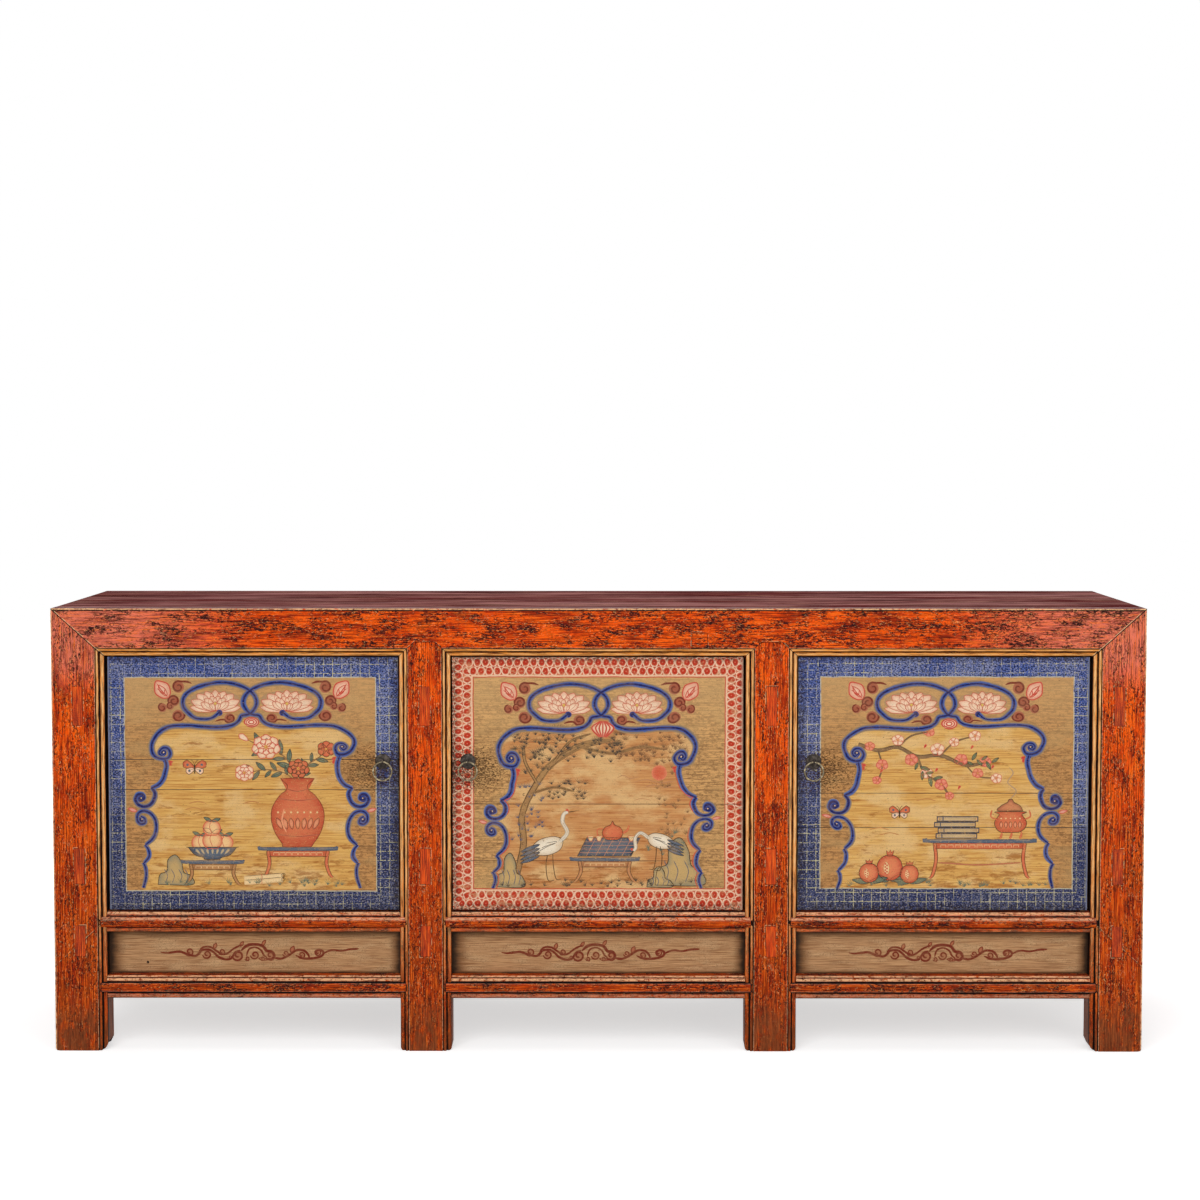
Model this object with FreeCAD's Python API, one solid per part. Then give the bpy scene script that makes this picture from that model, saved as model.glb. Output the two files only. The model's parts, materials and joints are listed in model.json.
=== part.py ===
import FreeCAD, Part
import math
import os

# Painted sideboard with three doors, built as a pegged and tenoned frame with loose panels.
# Millimetres. X runs along the length, the front faces -Y and Z is up from the floor.

# Overall
WIDTH = 2100.0
HEIGHT = 858.0
DEPTH = 460.0
FRAME_DEPTH = 52.0
POST_WIDTH = 101.0
STILE_WIDTH = 99.0
TOP_RAIL_TALL = 91.3
ARRIS = 2.0
ROUND_MID_SHARE = 1 - math.sqrt(0.5)

# Double bead that runs down every post and along the top rail
MOULD_WIDTH = 17.0
QUIRK_WIDTH = 1.6
QUIRK_DEPTH = 2.4
OUTER_BEAD_WIDTH = 5.4
OUTER_BEAD_DROP = 0.4
STEP_WIDTH = 1.6
STEP_DEPTH = 6.0
INNER_BEAD_DROP = 4.0
INNER_EDGE_DEPTH = 8.0
INNER_BEAD_CREST_SHARE = 0.55

# Feet
FOOT_ROUND = 7.0
INNER_FOOT_ROUND = 16.0

# Mitres and heads of the front frame
HEAD_RISE = 27.0
HEAD_DEPTH = 20.0
HEAD_TENON_RISE = 24.0
HEAD_TENON_WIDTH = 40.0
HEAD_TENON_THICK = 14.0
HEAD_TENON_BACK = 26.0
MITRE_TENON_IN = 30.0
MITRE_TENON_WIDTH = 30.0
MITRE_TENON_BACK = 11.0
MITRE_TENON_THICK = 12.0
MITRE_TENON_BELOW = 30.0
MITRE_REACH_SHARE = 0.2

# Sill rails, under the doors
SILL_BOTTOM = 231.4
SILL_BEAD_TALL = 8.2
SILL_NOSE_TALL = 21.9
SILL_NOSE_SHOULDER = 6.0
SILL_BEVEL_TALL = 9.1
SILL_BEVEL_QUIRK = 1.0
NOSE_LAP_DEPTH = 9.0
NOSE_END_ROUND = 6.0
RAIL_TENON_LONG = 20.0
RAIL_TENON_BACK = 20.0
RAIL_TENON_THICK = 12.0
RAIL_TENON_SHOULDER = 10.0

# Bottom rails, under the aprons
LEG_HEIGHT = 101.5
LOWER_BEAD_TALL = 11.1
LOWER_QUIRK_TALL = 1.4
LOWER_QUIRK_DEPTH = 3.0
MAIN_BAND_TALL = 19.7
MAIN_BAND_SWELL = 1.2
UPPER_QUIRK_TALL = 1.2
UPPER_BEAD_TALL = 7.5
UPPER_BEAD_DROP = 1.2
LEDGE_BEVEL_TALL = 3.6
LEDGE_BEVEL_START = 4.5
LEDGE_FRONT = 8.0

# Panels that sit loose in grooves
GROOVE = 8.0
APRON_SET_BACK = 26.0
APRON_THICK = 12.0
SIDE_PANEL_SET_IN = 20.0
SIDE_PANEL_THICK = 12.0
BACK_PANEL_SET_IN = 18.0
BACK_PANEL_THICK = 12.0
BACK_BOARD_SHARES = (0.0, 0.36, 0.70, 1.0)

# Rails from front to back, at three levels, with tenons through the posts
UPPER_LEVEL_DROP = 225.0
UPPER_LEVEL_TALL = 54.0
MIDDLE_LEVEL = 326.0
MIDDLE_LEVEL_TALL = 68.0
LOWER_LEVEL = 185.0
LOWER_LEVEL_TALL = 59.0
DEPTH_RAIL_THICK = 60.0
SIDE_RAIL_SET_IN = 12.0
THROUGH_TENON_THICK = 19.0
WEDGE_TALL = 21.0
WEDGE_TIP_TALL = 9.0
WEDGE_LONG = 46.0

# Rear bottom rails
REAR_RAIL_BOTTOM = 190.0
REAR_RAIL_TALL = 60.0

# Top
TOP_THICK = 20.0
TOP_REBATE = 12.0
TOP_BOARD_SHARES = (0.0, 0.158, 0.395, 0.70, 1.0)
BEARER_TALL = 50.0
BEARER_TENON_LONG = 20.0
BEARER_TENON_SHOULDER = 8.0
END_RAIL_TALL = 60.0
END_TENON_LONG = 24.0
END_TENON_RISE = 6.0
END_TENON_TALL = 16.0

# Floor of the cupboard
FLOOR_THICK = 14.0
FLOOR_END_GAP = 2.0
FLOOR_BOARDS = 3

# Doors
DOOR_GAP = 2.5
DOOR_THICK = 20.0
DOOR_SET_BACK = 12.0
STOP_DROP = 6.0
STOP_GAP = 0.3
LEFT_DOOR_SHARES = (0.0, 0.476, 0.595, 1.0)
CENTRE_DOOR_SHARES = (0.0, 0.195, 0.42, 1.0)
RIGHT_DOOR_SHARES = (0.0, 0.328, 0.464, 1.0)
BATTEN_WIDTH = 46.0
BATTEN_THICK = 14.0
BATTEN_DOVETAIL = 5.0
BATTEN_FLARE = 3.0
BATTEN_END_GAP = 26.0
BATTEN_PLACE_SHARES = (0.2, 0.8)

# Pivot pegs
PEG_RADIUS = 6.0
PEG_IN_DOOR = 34.0
PEG_TOP_REACH = 20.0
PEG_BOTTOM_REACH = 15.0
PEG_SEAT_CLEARANCE = 0.05
PEG_RUN_CLEARANCE = 0.08
PEG_END_CLEARANCE = 0.3

# Ring pulls
PULL_HEIGHT = 562.0
PULL_FROM_EDGE = 30.0
PLATE_RADIUS = 15.0
PLATE_EDGE_THICK = 1.2
PLATE_RISE = 4.0
PIN_RADIUS = 1.9
PIN_CLEARANCE = 0.1
EYE_RADIUS = 3.4
EYE_WIRE = 1.3
RING_RADIUS = 18.0
RING_WIRE = 1.5
LEG_LONG = 20.0
LEG_WIDE = 3.4
LEG_THICK = 1.6

# Worked out from the sizes above
EYE_OUT = PLATE_RISE + EYE_RADIUS + EYE_WIRE
PULL_PROUD = max(0, EYE_OUT + EYE_RADIUS + EYE_WIRE - DOOR_SET_BACK)
FRONT = (PULL_PROUD - DEPTH) / 2
BACK = FRONT + DEPTH
LEFT = -WIDTH / 2
BAY_WIDTH = (WIDTH - 2 * POST_WIDTH - 2 * STILE_WIDTH) / 3
RAIL_SPREAD = TOP_RAIL_TALL / POST_WIDTH
DOOR_HEAD = HEIGHT - TOP_RAIL_TALL
SILL_TOP = SILL_BOTTOM + SILL_BEAD_TALL + SILL_NOSE_TALL + SILL_BEVEL_TALL
SILL_NOSE_BOTTOM = SILL_BOTTOM + SILL_BEAD_TALL
BAND_BOTTOM = LEG_HEIGHT + LOWER_BEAD_TALL + LOWER_QUIRK_TALL
BAND_TOP = BAND_BOTTOM + MAIN_BAND_TALL
BOTTOM_RAIL_TOP = BAND_TOP + UPPER_QUIRK_TALL + UPPER_BEAD_TALL + LEDGE_BEVEL_TALL
DOOR_BOTTOM = SILL_TOP + DOOR_GAP
DOOR_TOP = DOOR_HEAD - DOOR_GAP
DOOR_WIDTH = BAY_WIDTH - 2 * DOOR_GAP
DOOR_EDGE_ROUND = DOOR_THICK / 2
DOOR_BACK = DOOR_SET_BACK + DOOR_THICK
TOP_UNDER = HEIGHT - TOP_THICK
UPPER_LEVEL = HEIGHT - UPPER_LEVEL_DROP
LEVELS = (
    ("upper", UPPER_LEVEL, UPPER_LEVEL_TALL),
    ("middle", MIDDLE_LEVEL, MIDDLE_LEVEL_TALL),
    ("lower", LOWER_LEVEL, LOWER_LEVEL_TALL),
)
BAY_LEFTS = tuple(LEFT + POST_WIDTH + bay * (BAY_WIDTH + STILE_WIDTH) for bay in range(3))
STILE_LEFTS = tuple(x + BAY_WIDTH for x in BAY_LEFTS[:2])
STILE_CENTRES = tuple(x + STILE_WIDTH / 2 for x in STILE_LEFTS)
BAY_NAMES = ("left", "centre", "right")


def block(x, y, z):
    """A box between two places on each axis."""
    size = (x[1] - x[0], y[1] - y[0], z[1] - z[0])
    return Part.makeBox(*size, FreeCAD.Vector(x[0], y[0], z[0]))


def behind(near, far):
    """A stretch of Y, given as two distances behind the front face."""
    return (FRONT + near, FRONT + far)


def mirrored(shape):
    """The same piece for the other end of the sideboard."""
    return shape.mirror(FreeCAD.Vector(0, 0, 0), FreeCAD.Vector(1, 0, 0))


def turned_to_back(shape):
    """The same piece, mirrored from the front frame to the rear frame."""
    return shape.mirror(FreeCAD.Vector(0, (FRONT + BACK) / 2, 0), FreeCAD.Vector(0, 1, 0))


def lines(*points):
    """Straight segments through the points, one after another."""
    return list(zip(points, points[1:]))


def backwards(segments):
    """The same path walked the other way."""
    return [tuple(reversed(segment)) for segment in reversed(segments)]


def swept(segments, place, sweep):
    """A solid: the closed path of lines and three-point arcs, put in space by place and swept."""
    edges = []
    for segment in segments:
        points = [place(*point) for point in segment]
        curve = Part.LineSegment(*points) if len(points) == 2 else Part.Arc(*points)
        edges.append(curve.toShape())
    return Part.Face(Part.Wire(edges)).extrude(sweep)


def on_front(x, z):
    """A point of the front plane from its X and Z."""
    return FreeCAD.Vector(x, FRONT, z)


def beads(side, inward, spread):
    """The double bead from the flat face to the side at the opening, as (across, behind) points."""

    def at(across, back):
        return (side + inward * across * spread, back)

    outer = MOULD_WIDTH - QUIRK_WIDTH
    step = outer - OUTER_BEAD_WIDTH
    inner = step - STEP_WIDTH
    return lines(at(MOULD_WIDTH, 0), at(MOULD_WIDTH, QUIRK_DEPTH), at(outer, QUIRK_DEPTH)) + [
        (at(outer, QUIRK_DEPTH), at((outer + step) / 2, OUTER_BEAD_DROP), at(step, QUIRK_DEPTH)),
        (at(step, QUIRK_DEPTH), at(step, STEP_DEPTH)),
        (at(step, STEP_DEPTH), at(inner, STEP_DEPTH)),
        (
            at(inner, STEP_DEPTH),
            at(inner * INNER_BEAD_CREST_SHARE, INNER_BEAD_DROP),
            at(0, INNER_EDGE_DEPTH),
        ),
    ]


def arris_round(side, inward):
    """A rounded corner from the face to a side."""
    mid = ARRIS * ROUND_MID_SHARE
    return [((side + inward * ARRIS, 0), (side + inward * mid, mid), (side, ARRIS))]


def member_section(width, low_moulded, high_moulded, spread=1):
    """Section across a frame member, from its low side to its high side and round the back."""
    low = beads(0, 1, spread) if low_moulded else arris_round(0, 1)
    high = beads(width, -1, spread) if high_moulded else arris_round(width, -1)
    front = backwards(low) + [(low[0][0], high[0][0])] + high
    return front + lines(front[-1][-1], (width, FRAME_DEPTH), (0, FRAME_DEPTH), front[0][0])


def upright(left, section, top):
    """A post or stile with its low side at left, from the floor to top."""
    return swept(
        section,
        lambda across, back: FreeCAD.Vector(left + across, FRONT + back, 0),
        FreeCAD.Vector(0, 0, top),
    )


def foot_outline(left, width, low_round, high_round):
    """A slab over the full height whose two bottom corners are rounded."""
    right = left + width
    low_mid = low_round * ROUND_MID_SHARE
    high_mid = high_round * ROUND_MID_SHARE
    outline = [((left, low_round), (left + low_mid, low_mid), (left + low_round, 0))]
    outline += lines((left + low_round, 0), (right - high_round, 0))
    outline += [((right - high_round, 0), (right - high_mid, high_mid), (right, high_round))]
    outline += lines((right, high_round), (right, HEIGHT), (left, HEIGHT), (left, low_round))
    return swept(outline, on_front, FreeCAD.Vector(0, FRAME_DEPTH, 0))


def mitre_side(above):
    """What lies above, or below, the mitre that runs from the top corner to the opening."""
    reach = 1 + MITRE_REACH_SHARE
    high = (LEFT - MITRE_REACH_SHARE * POST_WIDTH, HEIGHT + MITRE_REACH_SHARE * TOP_RAIL_TALL)
    low = (LEFT + reach * POST_WIDTH, HEIGHT - reach * TOP_RAIL_TALL)
    corner = (low[0], high[1]) if above else (high[0], low[1])
    return swept(lines(high, low, corner, high), on_front, FreeCAD.Vector(0, FRAME_DEPTH, 0))


def mitre_tenon():
    """The hidden tenon that the post sends up through the mitre."""
    left = LEFT + MITRE_TENON_IN
    tongue = block(
        (left, left + MITRE_TENON_WIDTH),
        behind(MITRE_TENON_BACK, MITRE_TENON_BACK + MITRE_TENON_THICK),
        (HEIGHT - TOP_RAIL_TALL - MITRE_TENON_BELOW, TOP_UNDER),
    )
    return tongue.common(mitre_side(True))


def corner_post(moulded):
    """A left corner post of the front frame, before its mortises."""
    section = member_section(POST_WIDTH, False, moulded)
    post = upright(LEFT, section, HEIGHT)
    post = post.common(foot_outline(LEFT, POST_WIDTH, FOOT_ROUND, INNER_FOOT_ROUND))
    return post.cut(mitre_side(True)).fuse(mitre_tenon())


def stile_head(left):
    """The mitred head of a stile, which is let into the face of the top rail."""
    run = HEAD_RISE / RAIL_SPREAD
    right = left + STILE_WIDTH
    corners = (
        (left, DOOR_HEAD),
        (right, DOOR_HEAD),
        (right - run, DOOR_HEAD + HEAD_RISE),
        (left + run, DOOR_HEAD + HEAD_RISE),
        (left, DOOR_HEAD),
    )
    return swept(lines(*corners), on_front, FreeCAD.Vector(0, HEAD_DEPTH, 0))


def head_tenon(left):
    """The tenon behind a stile's head."""
    centre = left + STILE_WIDTH / 2
    half = HEAD_TENON_WIDTH / 2
    return block(
        (centre - half, centre + half),
        behind(HEAD_TENON_BACK, HEAD_TENON_BACK + HEAD_TENON_THICK),
        (DOOR_HEAD, DOOR_HEAD + HEAD_TENON_RISE),
    )


def stile(left, moulded):
    """A stile between two bays, before its mortises."""
    section = member_section(STILE_WIDTH, moulded, moulded)
    shaft = upright(left, section, DOOR_HEAD)
    shaft = shaft.common(foot_outline(left, STILE_WIDTH, FOOT_ROUND, FOOT_ROUND))
    head = upright(left, section, DOOR_HEAD + HEAD_RISE).common(stile_head(left))
    return shaft.fuse([head, head_tenon(left)])


def top_rail(moulded):
    """The long top rail of the front frame, mitred at both ends and notched for the stiles."""
    section = member_section(TOP_RAIL_TALL, moulded, False, RAIL_SPREAD)
    rail = swept(
        section,
        lambda across, back: FreeCAD.Vector(LEFT, FRONT + back, DOOR_HEAD + across),
        FreeCAD.Vector(WIDTH, 0, 0),
    )
    ends = [mitre_side(False), mitre_tenon()]
    notches = [stile_head(left) for left in STILE_LEFTS] + [head_tenon(left) for left in STILE_LEFTS]
    return rail.cut(ends + [mirrored(end) for end in ends] + notches)


def door_stop(bay_left):
    """The lip behind a door's top edge, on the back of the top rail."""
    return block(
        (bay_left, bay_left + BAY_WIDTH),
        behind(DOOR_BACK + STOP_GAP, FRAME_DEPTH),
        (DOOR_HEAD - STOP_DROP, DOOR_HEAD),
    )


def peg_centre(bay):
    """X and Y of a door's pivot axis."""
    from_side = DOOR_GAP + DOOR_EDGE_ROUND
    left = BAY_LEFTS[bay]
    x = left + from_side if BAY_NAMES[bay] == "left" else left + BAY_WIDTH - from_side
    return x, FRONT + DOOR_SET_BACK + DOOR_EDGE_ROUND


def peg(bay, radius, bottom, top):
    """An upright cylinder on a door's pivot axis."""
    return Part.makeCylinder(radius, top - bottom, FreeCAD.Vector(*peg_centre(bay), bottom))


def peg_spans(end_gap):
    """The heights that the bottom and the top peg reach over, with room left at their ends."""
    return (
        (DOOR_BOTTOM - PEG_BOTTOM_REACH - end_gap, DOOR_BOTTOM + PEG_IN_DOOR),
        (DOOR_TOP - PEG_IN_DOOR, DOOR_TOP + PEG_TOP_REACH + end_gap),
    )


def peg_sockets(bay):
    """The two running holes for a door's pegs, in the sill rail and in the top rail."""
    radius = PEG_RADIUS + PEG_RUN_CLEARANCE
    return [peg(bay, radius, *span) for span in peg_spans(PEG_END_CLEARANCE)]


def rounded_lap(bay_left, bottom, top):
    """Room for the band of a rail that laps the beads of both posts, with rounded front corners."""
    low = bay_left - MOULD_WIDTH
    high = bay_left + BAY_WIDTH + MOULD_WIDTH
    mid = NOSE_END_ROUND * ROUND_MID_SHARE
    outline = [((low, NOSE_END_ROUND), (low + mid, mid), (low + NOSE_END_ROUND, 0))]
    outline += lines((low + NOSE_END_ROUND, 0), (high - NOSE_END_ROUND, 0))
    outline += [((high - NOSE_END_ROUND, 0), (high - mid, mid), (high, NOSE_END_ROUND))]
    outline += lines(
        (high, NOSE_END_ROUND), (high, NOSE_LAP_DEPTH), (low, NOSE_LAP_DEPTH), (low, NOSE_END_ROUND)
    )
    return swept(
        outline,
        lambda x, back: FreeCAD.Vector(x, FRONT + back, bottom),
        FreeCAD.Vector(0, 0, top - bottom),
    )


def along_bay(segments, left, right):
    """A rail between two X places whose section is given as (behind, height) points."""
    return swept(
        segments,
        lambda back, z: FreeCAD.Vector(left, FRONT + back, z),
        FreeCAD.Vector(right - left, 0, 0),
    )


def lapping_rail(bay_left, core, band, bottom, top):
    """A rail between two posts: its core, the band that laps their beads and its two tenons."""
    right = bay_left + BAY_WIDTH
    lap = along_bay(band, bay_left - MOULD_WIDTH, right + MOULD_WIDTH)
    lap = lap.common(rounded_lap(bay_left, bottom, top))
    tongue = block(
        (bay_left - RAIL_TENON_LONG, right + RAIL_TENON_LONG),
        behind(RAIL_TENON_BACK, RAIL_TENON_BACK + RAIL_TENON_THICK),
        (bottom + RAIL_TENON_SHOULDER, top - RAIL_TENON_SHOULDER),
    )
    return along_bay(core, bay_left, right).fuse([lap, tongue])


def sill_rail(bay_left):
    """The rail under a door: a low bead, a bullnose and a bevel up to the door."""
    nose_top = SILL_NOSE_BOTTOM + SILL_NOSE_TALL
    bead_crest = SILL_BOTTOM + SILL_BEAD_TALL * INNER_BEAD_CREST_SHARE
    nose = (
        (SILL_NOSE_SHOULDER, SILL_NOSE_BOTTOM),
        (0, (SILL_NOSE_BOTTOM + nose_top) / 2),
        (SILL_NOSE_SHOULDER, nose_top),
    )
    core = [((INNER_EDGE_DEPTH, SILL_BOTTOM), (INNER_BEAD_DROP, bead_crest), nose[0]), nose]
    core += lines(
        nose[-1],
        (SILL_NOSE_SHOULDER + SILL_BEVEL_QUIRK, nose_top),
        (DOOR_SET_BACK, SILL_TOP),
        (FRAME_DEPTH, SILL_TOP),
        (FRAME_DEPTH, SILL_BOTTOM),
        (INNER_EDGE_DEPTH, SILL_BOTTOM),
    )
    band = [nose] + lines(
        nose[-1], (NOSE_LAP_DEPTH, nose_top), (NOSE_LAP_DEPTH, SILL_NOSE_BOTTOM), nose[0]
    )
    return lapping_rail(bay_left, core, band, SILL_BOTTOM, SILL_TOP)


def bottom_rail(bay_left):
    """The rail under an apron: a low bead, a slightly swelled band, an upper bead and a ledge."""
    bead_top = LEG_HEIGHT + LOWER_BEAD_TALL
    crest = LEG_HEIGHT + LOWER_BEAD_TALL * INNER_BEAD_CREST_SHARE
    upper = BAND_TOP + UPPER_QUIRK_TALL
    upper_top = upper + UPPER_BEAD_TALL
    swell = (
        (MAIN_BAND_SWELL, BAND_BOTTOM),
        (0, (BAND_BOTTOM + BAND_TOP) / 2),
        (MAIN_BAND_SWELL, BAND_TOP),
    )
    core = [((INNER_EDGE_DEPTH, LEG_HEIGHT), (INNER_BEAD_DROP, crest), (STEP_DEPTH, bead_top))]
    core += lines((STEP_DEPTH, bead_top), (STEP_DEPTH, BAND_BOTTOM), swell[0])
    core += [swell]
    core += lines(swell[-1], (LOWER_QUIRK_DEPTH, BAND_TOP), (LOWER_QUIRK_DEPTH, upper))
    core += [
        (
            (LOWER_QUIRK_DEPTH, upper),
            (UPPER_BEAD_DROP, (upper + upper_top) / 2),
            (LEDGE_BEVEL_START, upper_top),
        )
    ]
    core += lines(
        (LEDGE_BEVEL_START, upper_top),
        (LEDGE_FRONT, BOTTOM_RAIL_TOP),
        (FRAME_DEPTH, BOTTOM_RAIL_TOP),
        (FRAME_DEPTH, LEG_HEIGHT),
        (INNER_EDGE_DEPTH, LEG_HEIGHT),
    )
    band = [swell] + lines(
        swell[-1], (NOSE_LAP_DEPTH, BAND_TOP), (NOSE_LAP_DEPTH, BAND_BOTTOM), swell[0]
    )
    return lapping_rail(bay_left, core, band, LEG_HEIGHT, BOTTOM_RAIL_TOP)


def rear_rail(bay_left):
    """A plain rear bottom rail with a tenon at each end."""
    right = bay_left + BAY_WIDTH
    top = REAR_RAIL_BOTTOM + REAR_RAIL_TALL
    back = DEPTH - RAIL_TENON_BACK
    core = block((bay_left, right), behind(DEPTH - FRAME_DEPTH, DEPTH), (REAR_RAIL_BOTTOM, top))
    tongue = block(
        (bay_left - RAIL_TENON_LONG, right + RAIL_TENON_LONG),
        behind(back - RAIL_TENON_THICK, back),
        (REAR_RAIL_BOTTOM + RAIL_TENON_SHOULDER, top - RAIL_TENON_SHOULDER),
    )
    return core.fuse(tongue)


def apron_panel(bay_left):
    """The board between a sill rail and a bottom rail, with its edges in their grooves."""
    return block(
        (bay_left - GROOVE, bay_left + BAY_WIDTH + GROOVE),
        behind(APRON_SET_BACK, APRON_SET_BACK + APRON_THICK),
        (BOTTOM_RAIL_TOP - GROOVE, SILL_BOTTOM + GROOVE),
    )


def back_boards(bay_left):
    """The boards that close the back of a bay, one above another."""
    far = DEPTH - BACK_PANEL_SET_IN
    bottom = REAR_RAIL_BOTTOM + REAR_RAIL_TALL - GROOVE
    rise = DOOR_HEAD + GROOVE - bottom
    heights = [bottom + rise * share for share in BACK_BOARD_SHARES]
    x = (bay_left - GROOVE, bay_left + BAY_WIDTH + GROOVE)
    return [block(x, behind(far - BACK_PANEL_THICK, far), span) for span in zip(heights, heights[1:])]


def side_boards():
    """The three boards of the left side, between its four rails."""
    x = (LEFT + SIDE_PANEL_SET_IN, LEFT + SIDE_PANEL_SET_IN + SIDE_PANEL_THICK)
    y = behind(FRAME_DEPTH - GROOVE, DEPTH - FRAME_DEPTH + GROOVE)
    tops = [TOP_UNDER - END_RAIL_TALL] + [bottom for _, bottom, _ in LEVELS[:2]]
    bottoms = [bottom + tall for _, bottom, tall in LEVELS]
    return [block(x, y, (low - GROOVE, high + GROOVE)) for low, high in zip(bottoms, tops)]


def depth_rail(left, tenon_centre, bottom, tall):
    """A rail from the front frame to the rear frame with a tenon through each post."""
    half = THROUGH_TENON_THICK / 2
    z = (bottom, bottom + tall)
    core = block((left, left + DEPTH_RAIL_THICK), behind(FRAME_DEPTH, DEPTH - FRAME_DEPTH), z)
    tongue = block((tenon_centre - half, tenon_centre + half), behind(0, DEPTH), z)
    return core.fuse(tongue)


def tenon_wedge(centre):
    """The wedge driven in above the end of an upper tenon, at the front."""
    low = UPPER_LEVEL + UPPER_LEVEL_TALL
    half = THROUGH_TENON_THICK / 2
    corners = ((0, low), (0, low + WEDGE_TALL), (WEDGE_LONG, low + WEDGE_TIP_TALL), (WEDGE_LONG, low))
    return along_bay(lines(*corners, corners[0]), centre - half, centre + half)


def end_top_rail():
    """The left end's top rail, under the ends of the top boards."""
    left = LEFT + SIDE_RAIL_SET_IN
    bottom = TOP_UNDER - END_RAIL_TALL
    half = THROUGH_TENON_THICK / 2
    centre = LEFT + POST_WIDTH / 2
    z = (bottom + END_TENON_RISE, bottom + END_TENON_RISE + END_TENON_TALL)
    core = block(
        (left, left + DEPTH_RAIL_THICK), behind(FRAME_DEPTH, DEPTH - FRAME_DEPTH), (bottom, TOP_UNDER)
    )
    reach = behind(FRAME_DEPTH - END_TENON_LONG, DEPTH - FRAME_DEPTH + END_TENON_LONG)
    return core.fuse(block((centre - half, centre + half), reach, z))


def bearer(centre):
    """A bearer under the top boards, tenoned into the front and rear top rails."""
    half = DEPTH_RAIL_THICK / 2
    thin = THROUGH_TENON_THICK / 2
    z = (TOP_UNDER - BEARER_TALL, TOP_UNDER)
    core = block((centre - half, centre + half), behind(FRAME_DEPTH, DEPTH - FRAME_DEPTH), z)
    reach = behind(FRAME_DEPTH - BEARER_TENON_LONG, DEPTH - FRAME_DEPTH + BEARER_TENON_LONG)
    tongue = block(
        (centre - thin, centre + thin),
        reach,
        (z[0] + BEARER_TENON_SHOULDER, z[1] - BEARER_TENON_SHOULDER),
    )
    return core.fuse(tongue)


def top_boards(left, right):
    """The top boards between two X places, lying in the rebates of the top rails."""
    front = FRAME_DEPTH - TOP_REBATE
    reach = DEPTH - 2 * front
    backs = [front + reach * share for share in TOP_BOARD_SHARES]
    return [
        block((left, right), behind(*span), (TOP_UNDER, HEIGHT)) for span in zip(backs, backs[1:])
    ]


def floor_boards():
    """The cupboard's floor, lying on the lower rails."""
    end = LEFT + SIDE_PANEL_SET_IN + SIDE_PANEL_THICK + FLOOR_END_GAP
    reach = (DEPTH - 2 * FRAME_DEPTH) / FLOOR_BOARDS
    bottom = LOWER_LEVEL + LOWER_LEVEL_TALL
    starts = [FRAME_DEPTH + board * reach for board in range(FLOOR_BOARDS)]
    return [
        block((end, -end), behind(start, start + reach), (bottom, bottom + FLOOR_THICK))
        for start in starts
    ]


def door_blank(bay):
    """The whole door with its hinge edge rounded about the pivot axis."""
    x, y = peg_centre(bay)
    towards_free = 1 if BAY_NAMES[bay] == "left" else -1
    free = x + towards_free * (DOOR_WIDTH - DOOR_EDGE_ROUND)
    near = y - DOOR_EDGE_ROUND
    far = y + DOOR_EDGE_ROUND
    outline = [((x, far), (x - towards_free * DOOR_EDGE_ROUND, y), (x, near))]
    outline += lines((x, near), (free, near), (free, far), (x, far))
    return swept(
        outline,
        lambda across, back: FreeCAD.Vector(across, back, DOOR_BOTTOM),
        FreeCAD.Vector(0, 0, DOOR_TOP - DOOR_BOTTOM),
    )


def battens(bay):
    """The two battens that hold a door's boards, each dovetailed across their backs."""
    low = BAY_LEFTS[bay] + DOOR_GAP
    half = BATTEN_WIDTH / 2
    front = DOOR_BACK - BATTEN_DOVETAIL
    rear = DOOR_BACK + BATTEN_THICK
    found = []
    for share in BATTEN_PLACE_SHARES:
        centre = low + DOOR_WIDTH * share
        corners = [
            (centre - half, rear),
            (centre - half, DOOR_BACK),
            (centre - half + BATTEN_FLARE, DOOR_BACK),
            (centre - half, front),
            (centre + half, front),
            (centre + half - BATTEN_FLARE, DOOR_BACK),
            (centre + half, DOOR_BACK),
            (centre + half, rear),
        ]
        found.append(
            swept(
                lines(*corners, corners[0]),
                lambda x, back: FreeCAD.Vector(x, FRONT + back, DOOR_BOTTOM + BATTEN_END_GAP),
                FreeCAD.Vector(0, 0, DOOR_TOP - DOOR_BOTTOM - 2 * BATTEN_END_GAP),
            )
        )
    return found


def pull_x(bay):
    """X of a door's ring pull, a little way in from the free edge."""
    left = BAY_LEFTS[bay] + DOOR_GAP
    if BAY_NAMES[bay] == "left":
        return left + DOOR_WIDTH - PULL_FROM_EDGE
    return left + PULL_FROM_EDGE


def rod(x, radius, near, far):
    """A cylinder from front to back at a pull, between two distances behind the face."""
    start = FreeCAD.Vector(x, FRONT + near, PULL_HEIGHT)
    return Part.makeCylinder(radius, far - near, start, FreeCAD.Vector(0, 1, 0))


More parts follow.
